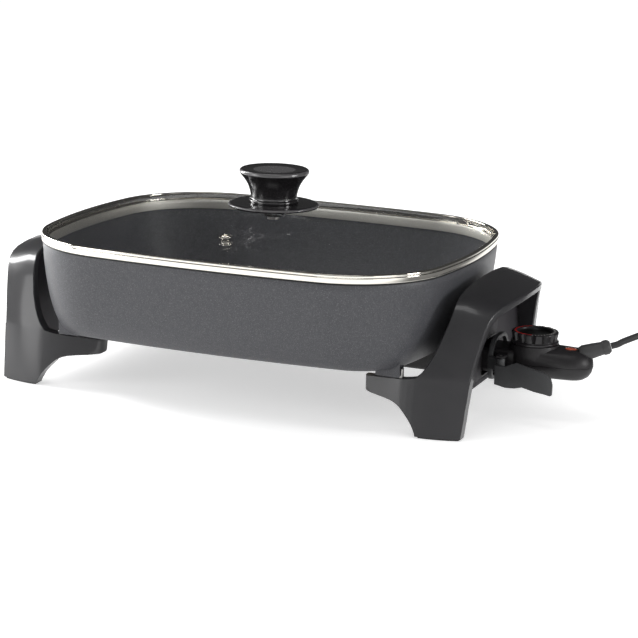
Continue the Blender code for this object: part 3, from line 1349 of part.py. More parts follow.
def main():
    clear_scene()
    non_stick = material("charcoal_non_stick", (0.045, 0.047, 0.052), 0.45, 0.5)
    frame_black = material("black_phenolic", (0.022, 0.022, 0.025), 0.38)
    panel_black = material("matt_panel", (0.030, 0.027, 0.032), 0.60)
    pod_black = material("black_probe_plastic", (0.016, 0.015, 0.016), 0.33)
    lever_grey = material("grey_lever_plastic", (0.060, 0.062, 0.066), 0.50)
    gloss_black = material("gloss_black_knob", (0.008, 0.008, 0.009), 0.10)
    soft_black = material("black_rubber", (0.012, 0.012, 0.012), 0.75)
    cord_black = material("cord_black", (0.020, 0.020, 0.021), 0.55)
    steel = material("polished_steel", (0.75, 0.74, 0.71), 0.15, 1.0)
    plain_steel = material("plain_steel", (0.48, 0.48, 0.48), 0.35, 1.0)
    element_steel = material("element_sheath", (0.22, 0.21, 0.20), 0.45, 1.0)
    brass = material("brass", (0.70, 0.52, 0.22), 0.30, 1.0)
    glass = material("clear_glass", (0.90, 0.93, 0.92), 0.02, 0.0, 0.35)
    ceramic = material("white_ceramic", (0.80, 0.78, 0.74), 0.45)
    amber = material("amber_lens", (0.75, 0.16, 0.03), 0.15)
    neon = material("neon_lamp", (0.80, 0.40, 0.20), 0.20)
    thermostat = material("brown_moulding", (0.12, 0.07, 0.04), 0.50)

    root = empty("skillet_root", (0, 0, 0))
    root.location.x = ROOT_X
    lid = empty("lid_axis", (0, 0, PAN_RIM), root)
    probe = empty("probe_axis", (PANEL_FACE, 0, AXIS_Z), root)
    dial = empty("dial_axis", (DIAL_X, 0, POD_TOP), probe)
    lever = empty("lever_axis", (LEVER_PIN_X, LEVER_PIN_Y, AXIS_Z), probe)

    make_pan(non_stick, root)
    make_end_frame("left_end_frame", -1, frame_black, root)
    make_end_frame("right_end_frame", 1, frame_black, root)
    make_panel("left_inner_panel", -1, panel_black, root)
    right_panel = make_panel("right_inner_panel", 1, panel_black, root)
    make_foot_pads(soft_black, root)
    make_arm_screws(plain_steel, root)
    make_element(element_steel, root)
    make_pins(plain_steel, ceramic, plain_steel, root)
    make_socket(plain_steel, right_panel, root)
    make_lid(glass, steel, soft_black, lid)
    make_knob(gloss_black, gloss_black, plain_steel, lid)
    floor = make_shells(pod_black, plain_steel, amber, neon, probe)
    make_nose(pod_black, brass, plain_steel, probe)
    shaft_low = make_thermostat(thermostat, brass, floor, probe)
    make_dial(pod_black, plain_steel, shaft_low, dial)
    make_lever(lever_grey, lever)
    make_cord(soft_black, cord_black, soft_black, cord_black, brass, probe)


main()
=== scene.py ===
"""An electric skillet, lid on and heat control plugged in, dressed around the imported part."""

import json
import math

import bpy
from mathutils import Matrix, Vector


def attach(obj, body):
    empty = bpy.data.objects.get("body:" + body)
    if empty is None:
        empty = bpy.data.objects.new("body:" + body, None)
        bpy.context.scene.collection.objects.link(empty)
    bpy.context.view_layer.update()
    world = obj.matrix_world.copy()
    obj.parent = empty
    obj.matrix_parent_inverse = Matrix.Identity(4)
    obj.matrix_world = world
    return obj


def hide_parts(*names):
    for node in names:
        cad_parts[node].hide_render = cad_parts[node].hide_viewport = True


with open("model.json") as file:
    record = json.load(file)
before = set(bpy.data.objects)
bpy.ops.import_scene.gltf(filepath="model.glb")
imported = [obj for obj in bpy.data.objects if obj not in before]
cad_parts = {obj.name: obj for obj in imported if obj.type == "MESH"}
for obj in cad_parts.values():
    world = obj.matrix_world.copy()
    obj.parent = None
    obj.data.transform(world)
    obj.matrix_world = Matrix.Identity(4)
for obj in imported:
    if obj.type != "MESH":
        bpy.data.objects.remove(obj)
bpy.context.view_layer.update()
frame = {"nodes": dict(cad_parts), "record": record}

# The pan's centre stands this far along X from the part's own middle
PAN_X = -0.031

# Camera: where it stands, the way it looks, its roll, and its focal length in pictures' widths
CAMERA_PLACE = Vector((0.7834 + PAN_X, -1.8232, 0.5388))
CAMERA_AZIMUTH = math.radians(21.91)
CAMERA_ELEVATION = math.radians(13.47)
CAMERA_ROLL = 0.0277
FOCAL_SHARE = 2099.975 / 638
SENSOR_WIDTH = 36.0

# Pan and lid, as in the part's source
HALF_LENGTH = 0.206
HALF_WIDTH = 0.167
LONG_ARC = 1.480
SHORT_ARC = 0.525
RIM_CORNER = 0.098
FLOOR_CORNER = 0.043
PAN_DEPTH = 0.0847
PAN_DRAFT = 0.030
PAN_FLOOR = 0.0578
PAN_RIM = 0.1425
RIM_WALL = 0.0042
RIM_ROUND = 0.0014
RIM_MIDDLE = 0.3
RIM_ROWS = 3
FLOOR_WALL = 0.0035
WALL_SHARES = (
    (0.000, 0.000), (0.044, 0.200), (0.121, 0.400), (0.220, 0.570), (0.355, 0.730),
    (0.495, 0.845), (0.662, 0.935), (0.830, 0.985), (1.000, 1.000),
)
CORNERS = ((1, 1), (1, -1), (-1, 1), (-1, -1))
BOSS_X = 0.1735
BOSS_Y = 0.1043
BOSS_FOOT = 0.0511
BOSS_RADIUS = 0.0050
BOSS_PAD = 0.0235
BOSS_HEIGHT = 0.0367
BORE_RADIUS = 0.0023
BORE_DEPTH = 0.0078
BORE_HEAD = 0.0037
SCREW_SEAT = 0.0090
CUT_SPARE = 0.002
HOLE_FOOT = -0.001
BAND_LOW = 0.1428
BAND_HIGH = 0.1507
SHEET = 0.0009
LEDGE = 0.0060
SKIRT_DROP = 0.0085
GLASS_EDGE = 0.1490
GLASS_THICK = 0.0050
GLASS_HOLE = 0.0042
LIP_REACH = 0.0040
DOME_RISE = 0.0225
DOME_POWER = 1.7
DOME_SHARES = (
    0.965, 0.94, 0.90, 0.86, 0.81, 0.76, 0.70, 0.64, 0.57, 0.50, 0.43, 0.36, 0.29, 0.22, 0.15, 0.08,
)
DOME_SQUEEZE = 0.11
SQUEEZE_START = 0.5
LID_OVERHANG = 0.001

# Steps of the three turns of a quarter outline: long side, corner, short side
QUARTER_STEPS = (12, 22, 8)

# The band's section: inset, height above its foot and radius of each corner
BAND_SECTION = (
    (0.0020, 0, 0),
    (0.0000, 0, 0.0007),
    (0.0000, 0.0048, 0.0006),
    (0.0007, 0.0053, 0.0004),
    (0.0002, 0.0060, 0.0006),
    (0.0003, BAND_HIGH - BAND_LOW, 0.0016),
    (LIP_REACH, BAND_HIGH - BAND_LOW, 0.0008),
    (0.0042, BAND_HIGH - SHEET - BAND_LOW, 0.0002),
    (SHEET, BAND_HIGH - SHEET - BAND_LOW, 0.0005),
    (SHEET, SHEET, 0.0005),
    (LEDGE + SHEET, SHEET, 0.0012),
    (LEDGE + SHEET, -SKIRT_DROP, 0.0003),
    (LEDGE, -SKIRT_DROP, 0.0003),
    (LEDGE, 0, 0.0006),
    (0.0020, 0, 0),
)

# Cord, as in the part's source: its route down, its coil, and its tail to the plug
CORD_DIAMETER = 0.0060
RELIEF_FOOT = Vector((0.3110 + PAN_X, 0, 0.0658))
RELIEF_YAW, RELIEF_PITCH = math.radians(20), math.radians(17)
RELIEF_SUNK = 0.002
RELIEF_LENGTH = 0.029
CORD_ROUTE = (
    (0.3455, 0.0150, 0.0780), (0.3562, 0.0250, 0.0822), (0.3655, 0.0410, 0.0845),
    (0.3735, 0.0620, 0.0785), (0.3790, 0.0820, 0.0620), (0.3830, 0.1000, 0.0405),
    (0.3865, 0.1170, 0.0210), (0.3895, 0.1340, 0.0085), (0.3911, 0.1500, 0.0043),
)
COIL_CENTRE = Vector((0.4290 + PAN_X, 0.1700, 0.0043))
COIL_TURNS = 3
COIL_PITCH = 0.0065
COIL_INNER = 0.028125
TAIL_LENGTH = 0.048
TAIL_SWING = 0.008
PLUG_HEIGHT = 0.0095

# Knob and its disc
KNOB_BOTTOM = 0.1779
KNOB_RADIUS = 0.0335
KNOB_HEIGHT = 0.0326
KNOB_SHARES = (
    (0.700, 0.000), (0.705, 0.080), (0.663, 0.125), (0.675, 0.270), (0.730, 0.470), (0.825, 0.650),
    (0.930, 0.790), (0.990, 0.865), (1.000, 0.910), (0.985, 0.965), (0.930, 1.000), (0.860, 0.985),
)
KNOB_DISH = ((0.7, 0.0006), (0.35, 0.0009), (0, 0.0010))
# Shares of the knob's height between which its rim takes the painted sheen
KNOB_EDGE = (0.875, 0.985)
DISC_BOTTOM = 0.1740
DISC_RADIUS = 0.0436
DISC_THICK = 0.0036
DISC_SECTION = (
    (0, DISC_BOTTOM, 0), (DISC_RADIUS * 0.985, DISC_BOTTOM, 0.0008),
    (DISC_RADIUS, DISC_BOTTOM + 0.0012, 0.0010), (DISC_RADIUS, DISC_BOTTOM + 0.0024, 0.0010),
    (DISC_RADIUS * 0.94, DISC_BOTTOM + DISC_THICK, 0.0016), (0, DISC_BOTTOM + DISC_THICK, 0),
)
# The disc's outer edge, above this height and beyond this share of its radius, takes the painted sheen
DISC_EDGE_LOW = 0.001
DISC_EDGE_SHARE = 0.965

# End frames, as in the part's source. A row is a height, the inner edge's reach, the distance out and the
# outer edge's flare.
ELBOW_Z = 0.0525
LEG_BOTTOM = 0.0015
LEG_THICK = 0.0105
FRAME_EDGE = 0.0012
FEET_HALF_WIDTH = 0.1192
GRIP_INNER = 0.214
ARM_REACH = 0.080
FOOT_OUTER = 0.2333
FOOT_TUCK = 0.0267
BOW_RADIUS = 0.099
APEX_X = 0.193
ARM_ROUND = 0.0085
LEG_SHARES = (
    (0.000, 0.265, 0.931, 0.000), (0.095, 0.280, 0.924, 0.010), (0.229, 0.329, 0.912, 0.030),
    (0.381, 0.415, 0.899, 0.050), (0.514, 0.518, 0.889, 0.064), (0.581, 0.660, 0.883, 0.076),
    (0.596, 0.830, 0.881, 0.079), (0.617, 0.970, 0.880, 0.082), (0.676, 1.000, 0.876, 0.093),
    (0.867, 1.000, 0.859, 0.120), (0.914, 0.780, 0.854, 0.127), (0.962, 0.463, 0.849, 0.135),
    (1.000, 0.329, 0.846, 0.142),
)
ARM_TIP = 8
ARM_SLANT = (-0.0006, -0.0006)
FACE_START = 0.128
FACE_STEP = 0.006
FACE_ENDS = (0.2460, 0.2560)
FACE_STEPS = 4
ARM_STEPS = 10
RISE_SPARE = 1.1
CUT_REACH = 0.2
CUT_LIFT = 0.004
WASTE_LOW = 0.02
WASTE_TALL = 0.04
WASTE_WIDE = 0.01

# Dial, the drum under it, and the lens with its seat
DIAL_PLACE = (0.2347, 0.0, 0.0)
DIAL_FOOT = 0.0710
DIAL_TOP = 0.0822
DIAL_SLOTS = 14
SHAFT_BORE = 0.0033
SHAFT_BORE_TOP = 0.0773
DIAL_SECTION = (
    (0, SHAFT_BORE_TOP, 0), (SHAFT_BORE, SHAFT_BORE_TOP, 0), (SHAFT_BORE, DIAL_FOOT, 0),
    (0.0218, DIAL_FOOT, 0.0003), (0.0222, DIAL_FOOT + 0.0005, 0.0004), (0.0222, DIAL_FOOT + 0.0022, 0.0005),
    (0.0206, DIAL_FOOT + 0.0028, 0.0006), (0.0209, DIAL_FOOT + 0.0060, 0.002),
    (0.0219, DIAL_TOP - 0.0008, 0.0008), (0.0210, DIAL_TOP, 0.0008), (0.0168, DIAL_TOP, 0.0006),
    (0.0160, DIAL_TOP - 0.0020, 0.0008), (0.0150, DIAL_TOP - 0.0030, 0.0008), (0, DIAL_TOP - 0.0030, 0),
)
DRUM_PROFILE = (
    (0.0224, 0.0702), (0.0229, 0.0672), (0.0236, 0.0632), (0.0239, 0.0592), (0.0235, 0.0565),
    (0.0222, 0.0565), (0.0218, 0.0610), (0.0206, 0.0686), (0.0206, 0.0702),
)
LENS_PLACE = (0.2697, 0.0)
LENS_HALF = (0.0056, 0.0038)
LENS_TOP = 0.0696
LENS_FOOT = 0.0676
LENS_PROFILE = (
    (0, LENS_FOOT), (1, LENS_FOOT), (1, LENS_TOP - 0.0007), (0.9, LENS_TOP - 0.0003),
    (0.6, LENS_TOP - 0.0001), (0, LENS_TOP),
)
SEAT_PLACE = (0.3032 + PAN_X, 0.0)
SEAT_HALF = (0.0056, 0.0042)
SEAT_PROFILE = ((0, 0.0665), (1, 0.0665), (1, 0.0684), (0.96, 0.0687), (0, 0.0687))
RING_INNER = (0.0174, 0.0176)
RING_OUTER = (0.0190, 0.0192)
RING_DEPTH = (0.0008, 0.0006)
# Radii inside which the dial's recess is painted near black: painted shade
RECESS_PAINTED_SHADE = (0.0155, 0.0170)
WARM_START = (0.815, 0.820)
WARM_END = (0.265, 0.270)
TICK_COUNT = 40
TICK_EDGE = (0.68, 0.72)
SLOT_SIZE = (0.0034, 0.0034, 0.0120)
SLOT_OUT = 0.0214
SLOT_FOOT = 0.0032
DIAL_EDGE = 0.0002

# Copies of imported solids: node, piece, body, slot, and the width of its bevels
SHELL_EDGE = 0.0003
COPIES = (
    ("left_inner_panel", "left_panel", "root", "matt_panel", 0.0004),
    ("right_inner_panel", "right_panel", "root", "matt_panel", 0.0004),
    ("foot_pad_front_left", "front_left_pad", "root", "black_rubber", 0.0003),
    ("foot_pad_front_right", "front_right_pad", "root", "black_rubber", 0.0003),
    ("foot_pad_rear_left", "rear_left_pad", "root", "black_rubber", 0.0003),
    ("foot_pad_rear_right", "rear_right_pad", "root", "black_rubber", 0.0003),
    ("heating_element", "element_tube", "root", "element_sheath", 0.0),
    ("sensor_sleeve", "sleeve_tube", "root", "plain_steel", 0.0),
    ("socket_guard", "guard_box", "root", "plain_steel", 0.0003),
    ("vent_eyelet", "vent_ring", "lid", "polished_steel", 0.0002),
    ("probe_lower_shell", "lower_shell", "probe", "black_probe_plastic", 0.0004),
    ("probe_nose", "nose_block", "probe", "black_probe_plastic", 0.0004),
    ("strain_relief", "relief_sleeve", "probe", "black_rubber", 0.0002),
    ("release_lever", "lever_moulding", "lever", "grey_lever_plastic", 0.0004),
    ("plug", "plug_body", "probe", "cord_black", 0.0005),
    ("cord_tie", "tie_band", "probe", "black_rubber", 0.0002),
)
# The socket guard takes a steel painted dark: painted shade for the gap between the pan and the right leg
COPY_FINISHES = {"socket_guard": "guard_painted_shade_steel", "strain_relief": "sleeve_grey"}

# Steps of turned pieces, the most that a rounded corner takes of an edge, and the angles in degrees over which
# an edge is bevelled or stays sharp; faces within FLAT_ANGLE become one
COIL_STEPS = 72
ROUTE_STEPS = 4
PAD_STEPS = 16
BORE_STEPS = 24
KNOB_STEPS = 96
DIAL_STEPS = 112
OVAL_STEPS = 40
EDGE_SHARE = 0.49
SMOOTH_ANGLE = 40
ROUND_ANGLE = 50
FRAME_ANGLE = 35
COPY_ANGLE = 30
FLAT_ANGLE = 0.2

# Clearances, and the distances within which points are merged
FIT = 0.0003
MERGE_COPY = 0.000002
MERGE_TURNED = 0.000005
MERGE_SWEPT = 0.00001
MERGE_HALVES = 0.00002
MERGE_FRAME = 0.0003
SAME_HEIGHT = 0.0000005
PAINT_SLACK = 0.00005

# Studio: levels of the world and the floor. SWEEP is the floor's dimmed part, behind the right end. A softbox
# is a name, place, aim, roll in degrees, width, height and power.
WORLD_LEVEL = 0.60
WORLD_SHINE = 0.05
FRONT_SHINE = 0.24
FRONT_SPAN = (0.1, -0.6)
FLOOR_SIZE = 24
FLOOR_WHITE = (0.86, 0.86, 0.86)
FLOOR_GLOW = 0.50
SWEEP_DIM = 0.85
SWEEP_END = (0.30, 0.50)
SWEEP_SIDE = (-0.45, -0.10)
SOFTBOXES = (
    ("shoulder_box", (-1.66, 0.10, 0.90), (-0.27, -0.07, 0.12), 70, 1.0, 0.42, 26.0),
    ("front_left_box", (-1.50, -1.50, 0.60), (-0.20, -0.10, 0.10), 0, 0.8, 1.1, 11.0),
    ("left_box", (-1.90, 0.50, 0.22), (0, 0, 0.19), 0, 0.5, 0.25, 10.0),
    ("front_right_box", (1.90, -1.10, 0.35), (0.10, -0.05, 0.08), 0, 0.9, 0.7, 2.5),
    ("right_box", (1.90, 0.05, 0.45), (0, 0, 0.12), 0, 0.45, 0.5, 10.0),
    ("top_box", (0.10, -0.60, 2.00), (0, 0, 0.10), 0, 1.0, 0.5, 4.0),
)


def set_camera():
    """The camera fitted to the photograph."""
    azimuth, elevation = CAMERA_AZIMUTH, CAMERA_ELEVATION
    back = Vector((math.sin(azimuth) * math.cos(elevation), -math.cos(azimuth) * math.cos(elevation),
                   math.sin(elevation)))
    level = Vector((math.cos(azimuth), math.sin(azimuth), 0))
    upright = back.cross(level)
    right = level * math.cos(CAMERA_ROLL) + upright * math.sin(CAMERA_ROLL)
    up = upright * math.cos(CAMERA_ROLL) - level * math.sin(CAMERA_ROLL)
    data = bpy.data.cameras.new("photo_camera")
    data.sensor_width = SENSOR_WIDTH
    data.lens = FOCAL_SHARE * SENSOR_WIDTH
    data.clip_start, data.clip_end = 0.05, 60
    camera = bpy.data.objects.new("photo_camera", data)
    bpy.context.scene.collection.objects.link(camera)
    turn = Matrix((right, up, back)).transposed()
    camera.matrix_world = Matrix.Translation(CAMERA_PLACE) @ turn.to_4x4()
    bpy.context.scene.camera = camera


def smooth_points(points, steps):
    """A smooth curve through the points, each run between two of them cut into steps."""
    points = [Vector(p) for p in points]
    guides = [points[0] * 2 - points[1], *points, points[-1] * 2 - points[-2]]
    fine = []
    for a, b, c, d in zip(guides, guides[1:], guides[2:], guides[3:]):
        for i in range(steps):
            t = i / steps
            step = (c - a) * t + (a * 2 - b * 5 + c * 4 - d) * t**2 + (b * 3 - a - c * 3 + d) * t**3
            fine.append(b + step / 2)
    return [*fine, points[-1]]


def coil_point(turns):
    """A point of the coil, which runs in and out again and climbs a layer where it turns back."""
    middle = COIL_TURNS / 2
    radius = COIL_INNER + COIL_PITCH * abs(turns - middle)
    share = min(max((turns - middle) * 2 + 0.5, 0), 1)
    climb = share * share * (3 - 2 * share)
    angle = math.pi - 2 * math.pi * turns
    return COIL_CENTRE + Vector((radius * math.cos(angle), radius * math.sin(angle), COIL_PITCH * climb))


def cord_line():
    """The cord's centre line from the strain relief's end to the plug."""
    direction = Vector((math.cos(RELIEF_YAW) * math.cos(RELIEF_PITCH),
                        math.sin(RELIEF_YAW) * math.cos(RELIEF_PITCH), math.sin(RELIEF_PITCH)))
    start = RELIEF_FOOT + direction * (RELIEF_LENGTH - RELIEF_SUNK + FIT)
    route = [Vector((x + PAN_X, y, z)) for x, y, z in CORD_ROUTE]
    heading = Vector((0, 1, 0))
    coil = [coil_point(COIL_TURNS * i / COIL_STEPS) for i in range(COIL_STEPS + 1)]
    before = coil[0] - heading * (CORD_DIAMETER + FIT)
    free = smooth_points((start, start + direction * CORD_DIAMETER, *route, before - heading * CORD_DIAMETER,
                          before), ROUTE_STEPS)
    out = coil[-1] + heading * (CORD_DIAMETER + FIT)
    end = out + heading * TAIL_LENGTH - Vector((TAIL_SWING, 0, 0))
    end.z = PLUG_HEIGHT
    tail = smooth_points((out, out + heading * CORD_DIAMETER, (out + end) / 2, end - heading * CORD_DIAMETER,
                          end), ROUTE_STEPS)
    return [*free, *coil, *tail], start


def make_cord():
    """The lead: one round cord along its centre line, which is returned with the point where it comes out."""
    line, start = cord_line()
    data = bpy.data.curves.new("lead", "CURVE")
    data.dimensions = "3D"
    data.bevel_depth = CORD_DIAMETER / 2
    data.bevel_resolution = 5
    data.use_fill_caps = True
    spline = data.splines.new("POLY")
    spline.points.add(len(line) - 1)
    for point, place in zip(spline.points, line):
        point.co = (*place, 1)
    spline.use_smooth = True
    lead = bpy.data.objects.new("lead", data)
    bpy.context.scene.collection.objects.link(lead)
    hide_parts("cord", "cord_coil", "cord_tail")
    print("lead: %.4f m" % sum((b - a).length for a, b in zip(line, line[1:])))
    return lead, start


# Finishes: shader maths as Python expressions


class Signal:
    """An output of a node; arithmetic on it adds Math nodes."""

    def __init__(self, nodes, socket):
        self.nodes, self.socket = nodes, socket

    def maths(self, operation, *values):
        return self.nodes.node("Math", {"operation": operation}, dict(enumerate(values)), 0)

    def __add__(self, other):
        return self.maths("ADD", self, other)

    def __mul__(self, other):
        return self.maths("MULTIPLY", self, other)

    def __sub__(self, other):
        return self.maths("SUBTRACT", self, other)

    def __rsub__(self, other):
        return self.maths("SUBTRACT", other, self)

    def __pow__(self, other):
        return self.maths("POWER", self, other)

    __radd__ = __add__
    __rmul__ = __mul__

    def step(self, low, high):
        """From 0 below low to 1 above high, smoothly."""
        return self.remap(low, high, 0.0, 1.0, "SMOOTHSTEP")

    def remap(self, low, high, first, last, way="LINEAR"):
        """From first at low to last at high."""
        inputs = {0: self, 1: low, 2: high, 3: first, 4: last}
        return self.nodes.node("MapRange", {"interpolation_type": way}, inputs, 0)


class Nodes:
    """A node tree, and the one way to add a node to it."""

    def __init__(self, tree):
        self.tree = tree

    def put(self, socket, value):
        if isinstance(value, Signal):
            self.tree.links.new(value.socket, socket)
        else:
            socket.default_value = value

    def node(self, kind, settings, inputs, output):
        """Any node: its type, its settings, its inputs' values or links, and which output is wanted."""
        made = self.tree.nodes.new("ShaderNode" + kind)
        for label, value in settings.items():
            setattr(made, label, value)
        for label, value in inputs.items():
            self.put(made.inputs[label], value)
        return Signal(self, made.outputs[output])

    def axes(self, kind):
        """The X, Y and Z of the coordinates of a kind."""
        spot = self.node("TexCoord", {}, {}, kind)
        return [self.node("SeparateXYZ", {}, {0: spot}, axis) for axis in "XYZ"]

    def rays(self):
        """Whether the ray is a camera, a glossy or a transmission ray."""
        kinds = ("Camera", "Glossy", "Transmission")
        return [self.node("LightPath", {}, {}, "Is %s Ray" % kind) for kind in kinds]


class Finish(Nodes):
    """One material: its shader, and the nodes that vary it over the piece."""

    def __init__(self, name, colour, roughness, **constants):
        self.material = bpy.data.materials.new(name)
        self.material.use_nodes = True
        super().__init__(self.material.node_tree)
        self.shader = self.tree.nodes["Principled BSDF"]
        self.material.diffuse_color = (*colour, 1)
        self.set("Base Color", (*colour, 1))
        self.set("Roughness", roughness)
        for label, value in constants.items():
            self.set(label.replace("_", " "), value)

    def set(self, label, value):
        self.put(self.shader.inputs[label], value)

    def noise(self, scale, detail=2.0, stretch=1):
        """Noise from 0 to 1 in the object's own coordinates, stretch times as dense along Z."""
        spot = self.node("TexCoord", {}, {}, "Object")
        place = self.node("Mapping", {}, {"Vector": spot, "Scale": (1, 1, stretch)}, 0)
        return self.node("TexNoise", {}, {"Vector": place, "Scale": scale, "Detail": detail}, 0)

    def mix(self, share, first, second):
        """A colour between two colours."""
        values = {0: share, 6: (*first, 1) if isinstance(first, tuple) else first,
                  7: (*second, 1) if isinstance(second, tuple) else second}
        return self.node("Mix", {"data_type": "RGBA"}, values, 2)

    def see_through(self, share):
        """Lets a share of the light straight through."""
        clear = self.node("BsdfTransparent", {}, {0: (1, 1, 1, 1)}, 0)
        solid = Signal(self, self.shader.outputs[0])
        mixed = self.node("MixShader", {}, {0: share, 1: solid, 2: clear}, 0)
        self.put(self.tree.nodes["Material Output"].inputs["Surface"], mixed)

    def relief(self, height, depth, strength=1.0):
        """Bump from a height of 0 to 1 that stands for a depth in metres."""
        values = {"Height": height, "Distance": depth, "Strength": strength}
        self.set("Normal", self.node("Bump", {}, values, 0))


# Finishes with one grain: name, colour, roughness, the grain's scale and detail, its two shades, the lowest
# roughness and its swing, the relief's depth and strength, and constants of the shader
GRAINED_FINISHES = (
    ("matt_panel", (0.030, 0.027, 0.032), 0.62, (1300, 2.0), ((0.022, 0.020, 0.024), (0.036, 0.032, 0.038)),
     None, (0.00008, 0.7), {}),
    ("grey_lever_plastic", (0.050, 0.051, 0.053), 0.50, (1400, 2.0),
     ((0.043, 0.044, 0.046), (0.056, 0.057, 0.059)), None, (0.00004, 0.5), {}),
    ("black_rubber", (0.014, 0.014, 0.014), 0.75, (400, 3.0), ((0.010, 0.010, 0.010), (0.020, 0.020, 0.020)),
     None, (0.00006, 0.5), {}),
    ("cord_black", (0.030, 0.030, 0.031), 0.48, (350, 2.0), ((0.026, 0.026, 0.027), (0.036, 0.036, 0.037)),
     (0.42, 0.14), (0.00005, 0.4), {}),
    ("sleeve_grey", (0.050, 0.050, 0.051), 0.50, (500, 2.0), ((0.044, 0.044, 0.045), (0.058, 0.058, 0.059)),
     None, (0.00004, 0.5), {}),
    # Dark steel for the socket guard: painted shade in the gap between the pan and the right leg
    ("guard_painted_shade_steel", (0.030, 0.029, 0.030), 0.50, (300, 3.0),
     ((0.022, 0.021, 0.022), (0.040, 0.038, 0.038)), (0.44, 0.14), None, {"Metallic": 0.4}),
    ("brass", (0.70, 0.50, 0.21), 0.28, (200, 3.0), ((0.58, 0.40, 0.15), (0.76, 0.55, 0.24)),
     (0.22, 0.16), None, {"Metallic": 1.0}),
    ("white_ceramic", (0.78, 0.76, 0.71), 0.55, (900, 2.0), ((0.72, 0.70, 0.65), (0.82, 0.80, 0.76)),
     None, (0.00004, 0.6), {}),
    ("amber_lens", (0.50, 0.09, 0.04), 0.16, (700, 1.0), ((0.40, 0.05, 0.03), (0.62, 0.14, 0.06)),
     None, None, {"Coat_Weight": 0.5, "Coat_Roughness": 0.05}),
    ("neon_lamp", (0.80, 0.40, 0.20), 0.12, (500, 2.0), ((0.78, 0.34, 0.14), (0.86, 0.50, 0.30)),
     None, None, {"Transmission_Weight": 0.6}),
    ("brown_moulding", (0.12, 0.07, 0.04), 0.52, (500, 3.0), ((0.09, 0.05, 0.03), (0.15, 0.09, 0.05)),
     None, (0.00005, 0.5), {}),
)


